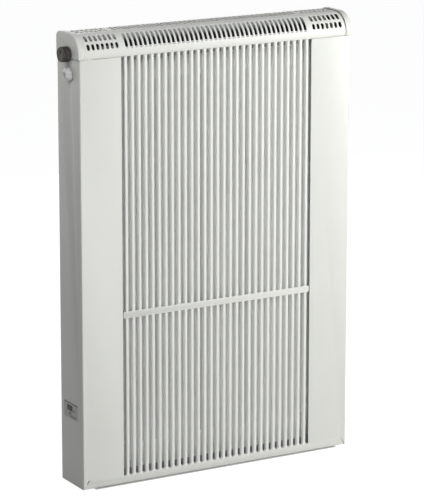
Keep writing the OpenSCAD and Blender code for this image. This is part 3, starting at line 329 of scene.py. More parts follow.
# %% [markdown]
# # Metals
# Behind the casing are zinc plated rails, drawn steel pipe and brass fittings. Metals keep the default IOR,
# and their look comes from their roughness: plating has a soft cloudiness a few millimetres across, pipe
# that was drawn through a die is smoother and shines a little more, and the brass was stamped hot, which
# leaves it dull with a fine sandy grain. The brass colour is a near-black brown, as painted shade, so that
# the valve under the hood reads dark.


# %% Plated, drawn and stamped metal
def plated(name, low, high, rough, cloud_mm, grain_mm, depth_mm):
    """A metal with clouds in its colour and a fine grain in its gloss."""
    made, tree, shader, place = surface(name)
    shader.inputs["Metallic"].default_value = 1.0
    drifting(tree, shader, place, low, high, cloud_mm, detail=3.0)
    grained(tree, shader, place, rough, grain_mm, depth_mm, spread=0.08, detail=2.0)
    return made


zinc_plate = plated("zinc_plated_sheet", "#A9ACB0", "#BFC2C6", 0.38, 9, 1.5, 0.01)
drawn_steel = plated("drawn_steel_tube", "#9C9EA1", "#B0B2B5", 0.32, 14, 0.8, 0.008)
# The brass colour is kept near-black brown, as painted shade for the valve under the hood.
brass_darkened_as_shade = plated("hot_stamped_brass", "#443B29", "#524733", 0.52, 12, 0.6, 0.012)
print("metals", [m.name for m in (zinc_plate, drawn_steel, brass_darkened_as_shade)])

# %% [markdown]
# # Rubber and plastics
# A mould that was cut by sparks leaves a fine even grain on what it moulds. The seals are dull rubber, the
# valve knob is a warm black nylon with a soft sheen, and the vent knob is milky polypropylene, which lets
# light in and glows softly in its thin parts. The film of the data plate is the smoothest, a pale grey with a
# faint gloss.

# %% Moulded rubber and plastic
GRAIN_CLOUD_MM = 6.25


def moulded(name, low, high, rough, grain_mm, depth_mm):
    """A moulded surface with a spark-eroded grain."""
    made, tree, shader, place = surface(name)
    drifting(tree, shader, place, low, high, GRAIN_CLOUD_MM)
    grained(tree, shader, place, rough, grain_mm, depth_mm, spread=0.06, detail=3.0)
    shader.inputs["IOR"].default_value = PLASTIC_IOR
    return made


seal_rubber = moulded("moulded_epdm_rubber", "#1C1C1C", "#262626", 0.75, 0.6, 0.02)
knob_plastic = moulded("moulded_black_nylon", "#2B2724", "#39332F", 0.45, 0.7, 0.02)
label_film = moulded("printed_polyester_film", "#C9CAC4", "#D0D1CB", 0.3, 1.5, 0.004)
vent_plastic = moulded("milky_polypropylene", "#F3EEEC", "#FAF7F5", 0.3, 0.9, 0.01)
milky = opened(vent_plastic)[1]
milky.inputs["Subsurface Weight"].default_value = 0.8
milky.inputs["Subsurface Radius"].default_value = (0.02, 0.018, 0.017)
milky.inputs["Subsurface Scale"].default_value = 1.0
print("moulded", [m.name for m in (seal_rubber, knob_plastic, label_film, vent_plastic)])

# %% [markdown]
# # A finish for every piece
# The CAD's record names a slot for each piece, such as brass or panel paint. One table says which finish a
# slot stands for, so that every piece is dressed, also those whose CAD mesh is shown as it is.

# %% Finish of each CAD piece
FINISH = {
    "casing_paint": powder_coat, "cap_plastic": cap_plastic, "panel_paint": panel_paint,
    "zinc_steel": zinc_plate, "pipe_steel": drawn_steel, "brass": brass_darkened_as_shade, "black_rubber": seal_rubber,
    "knob_plastic": knob_plastic, "vent_plastic": vent_plastic, "plate_film": label_film,
}
SLOT_OF = {row["node"]: row["material_slot"] for row in frame["record"]["subparts"]}
for name, cad in frame["nodes"].items():
    cad.data.materials.clear()
    cad.data.materials.append(FINISH[SLOT_OF[name]])
print(len(SLOT_OF), "nodes have their finish")

# %% [markdown]
# # Plain meshes from modifiers
# A modifier is a recipe that is cooked again at every change. A finished piece is kept as the plain mesh
# that the recipe gives, with the recipe taken off, so that it rides on its body and exports as it looks.

# %% Keep what the modifiers make
BODIES = frame["record"]["behaviour"]["bodies"]
BODY_OF = {node: body for body, members in BODIES.items() for node in members}
HANG_Z = 445  # the origin is this high above the casing's lower edge


def at(x, y, z):
    """A point in metres from millimetres that count up from the casing's lower edge."""
    return Vector((x, y, z - HANG_Z)) * MM


def modify(piece, kind, **settings):
    """Adds a modifier with its settings."""
    made = piece.modifiers.new(kind.lower(), kind)
    for name, value in settings.items():
        setattr(made, name, value)
    return made


def keep(piece, sharp):
    """Turns a piece with modifiers into its plain mesh, smooth but for edges sharper than so many degrees."""
    bpy.context.view_layer.update()
    cooked = bpy.data.meshes.new_from_object(piece.evaluated_get(bpy.context.evaluated_depsgraph_get()))
    piece.modifiers.clear()
    piece.data = cooked
    cooked.name = piece.name
    if sharp:
        cooked.shade_smooth()
        cooked.set_sharp_from_angle(angle=math.radians(sharp))
    return piece


def stands_for(piece, *nodes):
    """Lets a piece ride on the body of the CAD nodes that it replaces."""
    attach(piece, BODY_OF[nodes[0]])
    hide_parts(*nodes)
    print(piece.name, len(piece.data.polygons), "faces")
    return piece


# %% [markdown]
# # Node trees that take named sizes
# Slots, bars, fins and screws repeat by a rule, and a rule is what Geometry Nodes are for. Each tree gets
# its sizes as named inputs. The modifier is told them by each input's identifier, and its result is then
# kept as a plain mesh.

# %% A geometry tree and its modifier
SOCKETS = {
    "Geometry": "NodeSocketGeometry", "Object": "NodeSocketObject", "Collection": "NodeSocketCollection",
    "Material": "NodeSocketMaterial", "Float": "NodeSocketFloat", "Int": "NodeSocketInt",
}


def recipe(name, inputs):
    """A new geometry tree, its input node, and a function that closes it with an output."""
    tree = bpy.data.node_groups.new(name, "GeometryNodeTree")
    for label, kind in {"Geometry": "Geometry", **inputs}.items():
        tree.interface.new_socket(label, in_out="INPUT", socket_type=SOCKETS[kind])
    tree.interface.new_socket("Geometry", in_out="OUTPUT", socket_type=SOCKETS["Geometry"])
    given = add(tree, "NodeGroupInput").outputs

    def close(geometry):
        """Realizes the instances, sets the material and sends the result out."""
        real = add(tree, "GeometryNodeRealizeInstances", (geometry,)).outputs[0]
        dressed = add(tree, "GeometryNodeSetMaterial", {"Geometry": real, "Material": given["Material"]})
        add(tree, "NodeGroupOutput", (dressed.outputs[0],))
        print(name, len(tree.nodes), "nodes")
        return tree

    return tree, given, close


def cook(name, tree, mesh=None, **values):
    """An object made by a tree from named values, left with its modifier on."""
    piece = link(bpy.data.objects.new(name, mesh or bpy.data.meshes.new(name)))
    made = piece.modifiers.new("recipe", "NODES")
    made.node_group = tree
    names = {item.name: item.identifier for item in tree.interface.items_tree if item.in_out == "INPUT"}
    for label, value in values.items():
        made[names[label]] = value
    return piece


def hidden(name, data):
    """An object outside the scene, for a tree to copy from."""
    return bpy.data.objects.new(name, data)


print("inputs can be", list(SOCKETS))

# %% [markdown]
# # The slotted hood
# The hood is one steel sheet that a press punched flat, and that was then bent over the front and down at
# the back. It is made here in the same order. The flat sheet is a row of cells 10.15 mm wide, of which some
# have long slots, some have two short ones and some are plain. A node tree sets them side by side, stitches
# them, and lays the sheet along the hood's side outline by length. Solidify then gives it its 1.5 mm, and
# Bevel the soft edge of paint.

# %% Side outline of the hood
PITCH, SLOT_HALF, SHEET = 10.15, 3.0, 1.5
ARC_R, BACK_R = 38, 10
SKIRT, FLAT, FLANGE = 6.0, 42.8, 33.0
FRONT_Y, HOOD_TOP = -92.0, 890.0
ARC_AT = (FRONT_Y + ARC_R, HOOD_TOP - ARC_R)
BACK_AT = (ARC_AT[0] + FLAT, HOOD_TOP - BACK_R)
ARC_L, BACK_L = ARC_R * math.pi / 2, BACK_R * math.pi / 2
TOP_S = SKIRT + ARC_L
HOOD_L = TOP_S + FLAT + BACK_L + FLANGE


def bend(centre, radius, degrees):
    """Points in Y and Z round a bend. 0 degrees looks to the front, and 90 looks up."""
    turns = [math.radians(d) for d in degrees]
    return [(centre[0] - radius * math.cos(a), centre[1] + radius * math.sin(a)) for a in turns]


hood_line = [
    (FRONT_Y, ARC_AT[1] - SKIRT),
    *bend(ARC_AT, ARC_R, range(0, 91, 2)),
    *bend(BACK_AT, BACK_R, range(90, 181, 6)),
    (BACK_AT[0] + BACK_R, BACK_AT[1] - FLANGE),
]
outline = bpy.data.curves.new("hood_outline", "CURVE")
outline.dimensions = "3D"
strand = outline.splines.new("POLY")
strand.points.add(len(hood_line) - 1)
for point, (y, z) in zip(strand.points, hood_line):
    point.co = (*at(0, y, z), 1)
print("sheet length", round(HOOD_L, 1), "mm")


# %% Slots in the flat sheet
def up_curve(*degrees):
    """Lengths along the sheet of angles up the front curve."""
    return tuple(SKIRT + ARC_R * math.radians(d) for d in degrees)


TOP_START, TOP_LONG, TOP_SHORT = TOP_S + 6, 34, 14
TOP_END = TOP_START + TOP_LONG
LOW_SHORT, HIGH_SHORT, LONG = up_curve(16, 35.5), up_curve(43.5, 69), up_curve(13.5, 68)
KINDS = {
    "cell_0_plain": [],
    "cell_1_short": [
        LOW_SHORT, HIGH_SHORT, (TOP_START, TOP_START + TOP_SHORT), (TOP_END - TOP_SHORT, TOP_END),
    ],
    "cell_2_long": [LONG, (TOP_START, TOP_END)],
}


def slot_outline(s0, s1, steps=5):
    """A slot with round ends, from s0 to s1 along the sheet, as points of a closed loop."""
    loop = []
    for middle, turn in ((s1 - SLOT_HALF, 0), (s0 + SLOT_HALF, math.pi)):
        for i in range(steps + 1):
            a = turn + math.pi * i / steps
            loop.append((SLOT_HALF * math.cos(a), middle + SLOT_HALF * math.sin(a)))
    return loop


def in_slot(x, s, slot):
    """Whether a point of the cell is in a slot."""
    middle = min(max(s, slot[0] + SLOT_HALF), slot[1] - SLOT_HALF)
    return math.hypot(x, s - middle) < SLOT_HALF


print("slots in", {name: len(slots) for name, slots in KINDS.items()})

# %% Punched cells
ARC_ROWS, BACK_ROWS = 18, 5
ROWS = [0] + [SKIRT + ARC_L * i / ARC_ROWS for i in range(ARC_ROWS + 1)]
ROWS += [TOP_S + FLAT + BACK_L * i / BACK_ROWS for i in range(BACK_ROWS + 1)] + [HOOD_L]


def punched(name, slots):
    """A flat cell with its slots cut out, in metres, one pitch wide and as long as the sheet."""
    spots = [Vector((x, s)) for s in ROWS for x in (-PITCH / 2, PITCH / 2)]
    edges = [(2 * i, 2 * i + 1) for i in range(len(ROWS))]
    edges += [(2 * i + side, 2 * i + 2 + side) for i in range(len(ROWS) - 1) for side in (0, 1)]
    for slot in slots:
        loop = slot_outline(*slot)
        first = len(spots)
        spots += [Vector(p) for p in loop]
        edges += [(first + i, first + (i + 1) % len(loop)) for i in range(len(loop))]
    verts, _, faces, *_ = delaunay_2d_cdt(spots, edges, [], 0, 1e-4)
    whole = []
    for face in faces:
        x, s = (sum(verts[i][axis] for i in face) / len(face) for axis in (0, 1))
        if not any(in_slot(x, s, slot) for slot in slots):
            whole.append(face)
    mesh = bpy.data.meshes.new(name)
    mesh.from_pydata([(v[0] * MM, v[1] * MM, 0) for v in verts], [], whole)
    return mesh


cells = bpy.data.collections.new("cells")
for name, slots in KINDS.items():
    cells.objects.link(hidden(name, punched(name, slots)))

# %% Row of cells
PLAIN_KIND, SHORT_KIND, LONG_KIND = 0, 1, 2
LONG_COUNT, SHORT_COUNT, CASING_HALF = 20, 7, 300
half_row = [LONG_KIND] * LONG_COUNT + [PLAIN_KIND] + [SHORT_KIND] * SHORT_COUNT
END_STRIP = CASING_HALF - len(half_row) * PITCH
row = []
for side in (-1, 1):
    row += [(side * (k + 0.5) * PITCH, kind, 1.0) for k, kind in enumerate(half_row)]
    row.append((side * (CASING_HALF - END_STRIP / 2), PLAIN_KIND, END_STRIP / PITCH))
seats = bpy.data.meshes.new("cell_seats")
seats.from_pydata([(x * MM, 0, 0) for x, _, _ in row], [], [])
seats.attributes.new("kind", "INT", "POINT").data.foreach_set("value", [kind for _, kind, _ in row])
seats.attributes.new("widen", "FLOAT", "POINT").data.foreach_set("value", [widen for _, _, widen in row])
print(len(row), "cells")

# %% Tree that stitches and bends the sheet
STITCH = 0.02 * MM
tree, given, close = recipe(
    "punched_and_bent_sheet", {"Cells": "Collection", "Outline": "Object", "Material": "Material"},
)
shapes = add(tree, "GeometryNodeCollectionInfo", {
    "Collection": given["Cells"], "Separate Children": True, "Reset Children": True,
})
kind = add(tree, "GeometryNodeInputNamedAttribute", {"Name": "kind"}, data_type="INT")
widen = add(tree, "GeometryNodeInputNamedAttribute", {"Name": "widen"}, data_type="FLOAT")
width = add(tree, "ShaderNodeCombineXYZ", (widen.outputs[0], 1.0, 1.0))
laid = add(tree, "GeometryNodeInstanceOnPoints", {
    "Points": given["Geometry"], "Instance": shapes.outputs[0], "Pick Instance": True,
    "Instance Index": kind.outputs[0], "Scale": width.outputs[0],
})
flat = add(tree, "GeometryNodeRealizeInstances", (laid.outputs[0],))
sewn = add(tree, "GeometryNodeMergeByDistance", {"Geometry": flat.outputs[0], "Distance": STITCH})
place = add(tree, "ShaderNodeSeparateXYZ", (add(tree, "GeometryNodeInputPosition").outputs[0],))
line = add(tree, "GeometryNodeObjectInfo", {"Object": given["Outline"]}).outputs["Geometry"]
along = add(tree, "GeometryNodeSampleCurve", {"Curves": line, "Length": place.outputs["Y"]}, mode="LENGTH")
bent = add(tree, "ShaderNodeSeparateXYZ", (along.outputs["Position"],))
there = add(tree, "ShaderNodeCombineXYZ", (place.outputs["X"], bent.outputs["Y"], bent.outputs["Z"]))
shaped = add(tree, "GeometryNodeSetPosition", {"Geometry": sewn.outputs[0], "Position": there.outputs[0]})
hood_tree = close(shaped.outputs[0])

# %% Hood
PAINT_EDGE, PAINT_ANGLE = 0.25 * MM, math.radians(40)
line_to_follow = hidden("hood_outline", outline)
hood = cook("hood_sheet", hood_tree, seats, Cells=cells, Outline=line_to_follow, Material=powder_coat)
keep(hood, sharp=0)
hood.data.materials.append(inside_shade_graded)
# The sheet's inner side gets the second finish, with painted shade in its lower part.
modify(hood, "SOLIDIFY", thickness=SHEET * MM, offset=-1, use_even_offset=True, material_offset=1)
modify(
    hood, "BEVEL", width=PAINT_EDGE, segments=2, limit_method="ANGLE", angle_limit=PAINT_ANGLE, material=0,
)
stands_for(keep(hood, sharp=50), "hood_cover")

# %% [markdown]
# # The bars of the front
# The bars are steel profiles with a blunt round nose, 6.6 mm wide, that stand 14.4 mm apart. Each one
# spreads a little where it meets the sheet above and below, as a weld that was dressed and painted does,
# and dips behind the crossbar. One bar is lofted from outlines at several heights, and a node tree sets 29
# copies side by side.

# %% Outline of a bar
BAR_HALF, BAR_BACK, BAR_PITCH, BAR_COUNT = 3.3, -85.0, 14.4, 29
SILL_Z, SEAM_Z, TAIL_LOW, TAIL_HIGH = 15.6, 845.4, 11.3, 853.4
CROSS_LOW, CROSS_HIGH, CROSS_T = 333.0, 346.0, 3.0
FLARE_R, FLARE_STEPS = 2.4, 5
NOSE_STEPS, NOSE_BLUNT = 12, 0.6
TAIL_GAP = 0.3
BEHIND_SHEET = FRONT_Y + SHEET + TAIL_GAP


def bar_outline(z, spread, front):
    """A round-nosed outline at a height, made wider by a spread and cut back to a front."""
    half = BAR_HALF + spread
    loop = []
    for i in range(NOSE_STEPS + 1):
        a = math.pi * i / NOSE_STEPS
        y = FRONT_Y + BAR_HALF - BAR_HALF * math.sin(a) ** NOSE_BLUNT
        loop.append(at(-half * math.cos(a), max(y, front), z))
    return loop + [at(half, BAR_BACK, z), at(-half, BAR_BACK, z)]


def flare(t):
    """The spread at a distance from the bar's end, as a quarter circle."""
    return FLARE_R - math.sqrt(max(0.0, FLARE_R**2 - (FLARE_R - t) ** 2)) if t < FLARE_R else 0.0


print("spread at the end", flare(0), "mm")


# %% One bar
def bar_mesh():
    """One bar as a closed loft, standing at x = 0."""
    dip = FRONT_Y + CROSS_T
    steps = [FLARE_R * (i / FLARE_STEPS) ** 2 for i in range(FLARE_STEPS + 1)]
    sections = [bar_outline(z, 0, BEHIND_SHEET) for z in (TAIL_LOW, SILL_Z)]
    sections += [bar_outline(SILL_Z + t, flare(t), FRONT_Y) for t in steps]
    sections += [bar_outline(CROSS_LOW, 0, front) for front in (FRONT_Y, dip)]
    sections += [bar_outline(CROSS_HIGH, 0, front) for front in (dip, FRONT_Y)]
    sections += [bar_outline(SEAM_Z - t, flare(t), FRONT_Y) for t in reversed(steps)]
    sections += [bar_outline(z, 0, BEHIND_SHEET) for z in (SEAM_Z, TAIL_HIGH)]
    count, last = len(sections[0]), (len(sections) - 1) * len(sections[0])
    faces = [tuple(range(count)), tuple(reversed(range(last, last + count)))]
    for k in range(0, last, count):
        for i in range(count):
            j = (i + 1) % count
            faces.append((k + j, k + i, k + count + i, k + count + j))
    mesh = bpy.data.meshes.new("bar")
    mesh.from_pydata([p for section in sections for p in section], [], faces)
    skin = bmesh.new()
    skin.from_mesh(mesh)
    bmesh.ops.recalc_face_normals(skin, faces=skin.faces)
    skin.to_mesh(mesh)
    skin.free()
    return mesh


one_bar = hidden("one_bar", bar_mesh())
print("bar", len(one_bar.data.polygons), "faces")

# %% Row of bars
tree, given, close = recipe(
    "row_of_copies", {"Shape": "Object", "Count": "Int", "Pitch": "Float", "Material": "Material"},
)
gaps = add(tree, "ShaderNodeMath", (given["Count"], -1.0), operation="ADD").outputs[0]
span = add(tree, "ShaderNodeMath", (gaps, given["Pitch"]), operation="MULTIPLY").outputs[0]
start = add(tree, "ShaderNodeMath", (span, -0.5), operation="MULTIPLY").outputs[0]
spots = add(tree, "GeometryNodeMeshLine", {
    "Count": given["Count"], "Start Location": add(tree, "ShaderNodeCombineXYZ", (start,)).outputs[0],
    "Offset": add(tree, "ShaderNodeCombineXYZ", (given["Pitch"],)).outputs[0],
}, mode="OFFSET")
shape = add(tree, "GeometryNodeObjectInfo", {"Object": given["Shape"]}).outputs["Geometry"]
copies = add(tree, "GeometryNodeInstanceOnPoints", {"Points": spots.outputs[0], "Instance": shape})
row_tree = close(copies.outputs[0])
bars = cook(
    "round_nosed_bars", row_tree, Shape=one_bar, Count=BAR_COUNT, Pitch=BAR_PITCH * MM, Material=bar_coat_painted_lighter,
)
stands_for(keep(bars, sharp=50), "grille_bars")

# %% [markdown]
# # Folded fins
# The fins are one long strip of thin sheet that a roller folded to and fro, and that is welded to the back
# of the front panel. Every fourth corner repeats, so a point's number says where it goes: a node tree
# numbers the points of a line, moves them by that rule, rounds the corners, and pulls the line up to a sheet.

# %% Tree for the fins
FOLD_CORNERS = 4.0
BEND_POINTS = 5
tree, given, close = recipe("folded_strip", {
    "Waves": "Int", "Pitch": "Float", "Depth": "Float", "Height": "Float", "Bend": "Float",
    "Material": "Material",
})
counted = (given["Waves"], FOLD_CORNERS, 1.0)
all_corners = add(tree, "ShaderNodeMath", counted, operation="MULTIPLY_ADD").outputs[0]
index = add(tree, "GeometryNodeInputIndex").outputs[0]
share = add(tree, "ShaderNodeMath", (index, FOLD_CORNERS), operation="DIVIDE").outputs[0]
wave = add(tree, "ShaderNodeMath", (share,), operation="FLOOR").outputs[0]
corner = add(tree, "ShaderNodeMath", (index, FOLD_CORNERS), operation="MODULO").outputs[0]
once = add(tree, "ShaderNodeMath", (corner, 0.5), operation="GREATER_THAN").outputs[0]
twice = add(tree, "ShaderNodeMath", (corner, 2.5), operation="GREATER_THAN").outputs[0]
deep = add(tree, "ShaderNodeMath", (corner, 1.5), operation="GREATER_THAN").outputs[0]
moves = add(tree, "ShaderNodeMath", (once, twice), operation="ADD").outputs[0]
waves_on = add(tree, "ShaderNodeMath", (moves, 0.5, wave), operation="MULTIPLY_ADD").outputs[0]
fold_x = add(tree, "ShaderNodeMath", (waves_on, given["Pitch"]), operation="MULTIPLY").outputs[0]
fold_y = add(tree, "ShaderNodeMath", (deep, given["Depth"]), operation="MULTIPLY").outputs[0]
fold = add(tree, "ShaderNodeCombineXYZ", (fold_x, fold_y)).outputs[0]
points = add(tree, "GeometryNodeMeshLine", {"Count": all_corners}).outputs[0]
folded = add(tree, "GeometryNodeSetPosition", {"Geometry": points, "Position": fold}).outputs[0]
thread = add(tree, "GeometryNodeMeshToCurve", (folded,)).outputs[0]
rounded = add(tree, "GeometryNodeFilletCurve", {
    "Curve": thread, "Radius": given["Bend"], "Count": BEND_POINTS,
}, mode="POLY").outputs[0]
rise = add(tree, "ShaderNodeCombineXYZ", {"Y": given["Height"]}).outputs[0]
upright = add(tree, "GeometryNodeCurvePrimitiveLine", {"End": rise}).outputs[0]
pulled = add(tree, "GeometryNodeCurveToMesh", {"Curve": rounded, "Profile Curve": upright}).outputs[0]
fin_tree = close(pulled)

# %% Fins
FIN_X, FIN_FRONT, FIN_BACK, FIN_LOW, FIN_HIGH = -165, -68, -40, 95, 779
FIN_T, FIN_BEND, FIN_PITCH, FIN_WAVES = 0.8, 2.5, 33.3, 11
fins = cook(
    "folded_fins", fin_tree, Waves=FIN_WAVES, Pitch=FIN_PITCH * MM, Depth=(FIN_BACK - FIN_FRONT - FIN_T) * MM,
    Height=(FIN_HIGH - FIN_LOW) * MM, Bend=FIN_BEND * MM, Material=panel_paint,
)
keep(fins, sharp=0)
lowest = Vector((0, 0, min(v.co.z for v in fins.data.vertices)))
fins.data.transform(Matrix.Translation(at(FIN_X + FIN_T / 2, FIN_FRONT + FIN_T / 2, FIN_LOW) - lowest))
modify(fins, "SOLIDIFY", thickness=FIN_T * MM, offset=0, use_even_offset=True)
stands_for(keep(fins, sharp=50), "convector_fins")

# %% [markdown]
# # Turned and block shapes
# Knobs and screws are round, with something cut round the rim or into the face. A lathe function takes the
# outline from the middle of the face to the back and says where the rim is waved, and a second function
# makes the small blocks that are added or cut away.


# %% Shapes from loose points
def as_piece(name, skin):
    """An object in the scene from a finished skin."""
    mesh = bpy.data.meshes.new(name)
    skin.to_mesh(mesh)
    skin.free()
    return link(bpy.data.objects.new(name, mesh))


def cube_between(low, high):
    """The skin of a box between two corners in metres."""
    skin = bmesh.new()
    bmesh.ops.create_cube(skin, size=1.0)
    for v in skin.verts:
        v.co = (low + high) / 2 + Vector(a * b for a, b in zip(v.co, high - low))
    return skin


def block(name, low, high, width):
    """A box between two corners in millimetres, with rounded edges."""
    skin = cube_between(at(*low), at(*high))
    bmesh.ops.bevel(skin, geom=skin.edges[:], offset=width * MM, segments=3, profile=0.5, affect="EDGES")
    return as_piece(name, skin)


def join(piece, *others):
    """Adds other pieces' meshes to a piece and removes them."""
    skin = bmesh.new()
    for one in (piece, *others):
        skin.from_mesh(one.data)
    skin.to_mesh(piece.data)
    skin.free()
    for one in others:
        bpy.data.objects.remove(one)
    return piece


print("a cube has", len(cube_between(at(0, 0, 0), at(1, 1, 1)).faces), "faces")


# %% A lathe with waves round the rim
def turned(name, outline, centre, steps, waves=0, depth=0.0):
    """A shape turned about X. An outline point is (x, radius, share of the wave), from face to back."""
    skin = bmesh.new()
    rings = []
    for x, radius, share in outline:
        if radius == 0:
            rings.append([skin.verts.new(at(x, *centre))])
            continue
        ring = []
        for i in range(steps):
            a = 2 * math.pi * i / steps
            r = radius - share * depth * (0.5 - 0.5 * math.cos(waves * a))
            ring.append(skin.verts.new(at(x, centre[0] + r * math.cos(a), centre[1] + r * math.sin(a))))
        rings.append(ring)
    for one, other in zip(rings, rings[1:]):
        for i in range(steps):
            j = (i + 1) % steps
            corners = [one[i % len(one)], one[j % len(one)], other[j % len(other)], other[i % len(other)]]
            skin.faces.new(list(dict.fromkeys(corners)))
    bmesh.ops.recalc_face_normals(skin, faces=skin.faces)
    return as_piece(name, skin)


ON_AXIS = (0, HANG_Z)  # a shape turned here has its axis through the origin
print("axis through the origin at", tuple(at(0, *ON_AXIS)))

# %% [markdown]
# # Valve knob
# The black knob has thirty grip flutes round its rim, a rounded lip, a slightly sunk face with a raised
# pointer, and a cross hole for its set screw. The flutes fade out at both ends of the rim, as they do where
# a mould has to let go of its part.

# %% Valve knob
KNOB_X0, KNOB_X1, KNOB_AXIS, KNOB_R, BORE_R = -320.8, -303.3, (-51, 853), 15.0, 3.1
KNOB_STEPS, FLUTES, FLUTE_DEPTH = 180, 30, 0.7
POINTER_HALF, POINTER_FROM, POINTER_TO = 0.9, 1.5, 11.6
valve_knob = turned("fluted_valve_knob", [
    (KNOB_X0 + 1.3, 0, 0), (KNOB_X0 + 1.3, 7.0, 0), (KNOB_X0 + 0.9, 10.0, 0), (KNOB_X0 + 0.2, 11.4, 0),
    (KNOB_X0, 12.1, 0), (KNOB_X0 + 0.25, 13.0, 0), (KNOB_X0 + 0.9, 13.9, 0), (KNOB_X0 + 1.9, 14.6, 0),
    (KNOB_X0 + 3.2, 14.95, 0), (KNOB_X0 + 4.2, KNOB_R, 0.3), (KNOB_X0 + 5.0, KNOB_R, 1),
    (KNOB_X1 - 2.4, KNOB_R, 1), (KNOB_X1 - 1.8, KNOB_R, 0.3), (KNOB_X1 - 1.2, KNOB_R, 0),
    (KNOB_X1 - 0.3, 14.8, 0), (KNOB_X1, 14.3, 0), (KNOB_X1, BORE_R, 0), (KNOB_X0 + 3.0, BORE_R, 0),
    (KNOB_X0 + 3.0, 0, 0),
], KNOB_AXIS, KNOB_STEPS, FLUTES, FLUTE_DEPTH)
HOLE_R, HOLE_FROM, HOLE_TO = 1.6, -1.6, 20
drill = turned(
    "drill", [(HOLE_FROM, 0, 0), (HOLE_FROM, HOLE_R, 0), (HOLE_TO, HOLE_R, 0), (HOLE_TO, 0, 0)], ON_AXIS, 24,
)
upward = Matrix.Rotation(math.radians(90), 4, "Y")
drill.data.transform(Matrix.Translation(at((KNOB_X0 + KNOB_X1) / 2, *KNOB_AXIS)) @ upward)
modify(valve_knob, "BOOLEAN", object=drill, operation="DIFFERENCE", solver="EXACT")
valve_knob.data.materials.append(knob_plastic)
keep(valve_knob, sharp=40)
bpy.data.objects.remove(drill)
y, z = KNOB_AXIS
pointer_low = (KNOB_X0 + 0.15, y - POINTER_HALF, z + POINTER_FROM)
pointer_high = (KNOB_X0 + 1.6, y + POINTER_HALF, z + POINTER_TO)
stands_for(join(valve_knob, block("pointer", pointer_low, pointer_high, width=0.35)), "control_knob")

# %% [markdown]
# # Vent knob
# The milky knob is a low dome with seven broad lobes for the fingers. A dimple in its middle holds a thin
# upright grip.

# %% Vent knob
VENT_X0, VENT_X1, VENT_AXIS = -313.2, -301.2, (-53, 814)
VENT_STEPS, LOBES, LOBE_DEPTH = 168, 7, 1.2
GRIP_HALF, GRIP_RISE, VENT_EDGE, VENT_ANGLE = 1.1, 5.2, 0.2 * MM, math.radians(45)
vent_knob = turned("lobed_vent_knob", [
    (VENT_X0 + 1.2, 0, 0), (VENT_X0 + 1.2, 4.8, 0), (VENT_X0 + 0.3, 5.4, 0), (VENT_X0, 6.0, 0.1),
    (VENT_X0 + 0.3, 7.0, 0.2), (VENT_X0 + 1.3, 8.7, 0.4), (VENT_X0 + 2.8, 10.6, 0.6),
    (VENT_X0 + 4.8, 12.3, 0.8), (VENT_X0 + 7.2, 13.4, 1), (VENT_X0 + 9.5, 13.9, 1), (VENT_X1 - 1.0, 14.0, 1),
    (VENT_X1, 13.6, 1), (VENT_X1, BORE_R, 0), (VENT_X0 + 4.4, BORE_R, 0), (VENT_X0 + 4.4, 0, 0),
], VENT_AXIS, VENT_STEPS, LOBES, LOBE_DEPTH)
vent_knob.data.materials.append(vent_plastic)
modify(vent_knob, "BEVEL", width=VENT_EDGE, segments=2, limit_method="ANGLE", angle_limit=VENT_ANGLE)
keep(vent_knob, sharp=40)
y, z = VENT_AXIS
grip_low = (VENT_X0, y - GRIP_HALF, z - GRIP_RISE)
grip_high = (VENT_X0 + 3.0, y + GRIP_HALF, z + GRIP_RISE)
stands_for(join(vent_knob, block("grip", grip_low, grip_high, width=0.5)), "vent_knob")

# %% [markdown]
# # Pan-head screws
# Eight self-tapping screws hold the casing's brackets to the rails. Each has a domed head with a cross
# recess and a threaded shank. One is turned on the lathe, the cross is cut out of it, and a node tree seats
# it eight times, turned to the left or to the right by a number that each point carries.

# %% One screw
HEAD_R, HEAD_T, SHANK_R, SHANK_L = 4.5, 2.0, 2.5, 7.0
THREAD_DEPTH, RECESS_HALF_L, RECESS_HALF_T, RECESS_DEPTH = 0.4, 2.6, 0.45, 1.3
shank = []
for i in range(int(SHANK_L)):
    shank += [(i + 0.1, SHANK_R - THREAD_DEPTH, 0), (i + 0.5, SHANK_R, 0), (i + 0.6, SHANK_R, 0)]
screw = turned("one_screw", [
    (-HEAD_T, 0, 0), (-HEAD_T, HEAD_R - 2.2, 0), (-HEAD_T + 0.25, HEAD_R - 1.1, 0),
    (-HEAD_T + 0.9, HEAD_R - 0.25, 0), (-HEAD_T + 1.6, HEAD_R, 0), (0, HEAD_R, 0), *shank,
    (SHANK_L, SHANK_R - 0.5, 0), (SHANK_L, 0, 0),
], ON_AXIS, 32)
for turn in (0, 90):
    recess_low = (-HEAD_T - 1, -RECESS_HALF_L, HANG_Z - RECESS_HALF_T)
    recess_high = (-HEAD_T + RECESS_DEPTH, RECESS_HALF_L, HANG_Z + RECESS_HALF_T)
    cutter = block("cutter", recess_low, recess_high, width=0.1)
    cutter.data.transform(Matrix.Rotation(math.radians(turn), 4, "X"))
    modify(screw, "BOOLEAN", object=cutter, operation="DIFFERENCE", solver="EXACT")
    keep(screw, sharp=40)
    bpy.data.objects.remove(cutter)
one_screw = hidden("pan_head_screw", screw.data)
bpy.data.objects.remove(screw)
print("screw", len(one_screw.data.polygons), "faces")

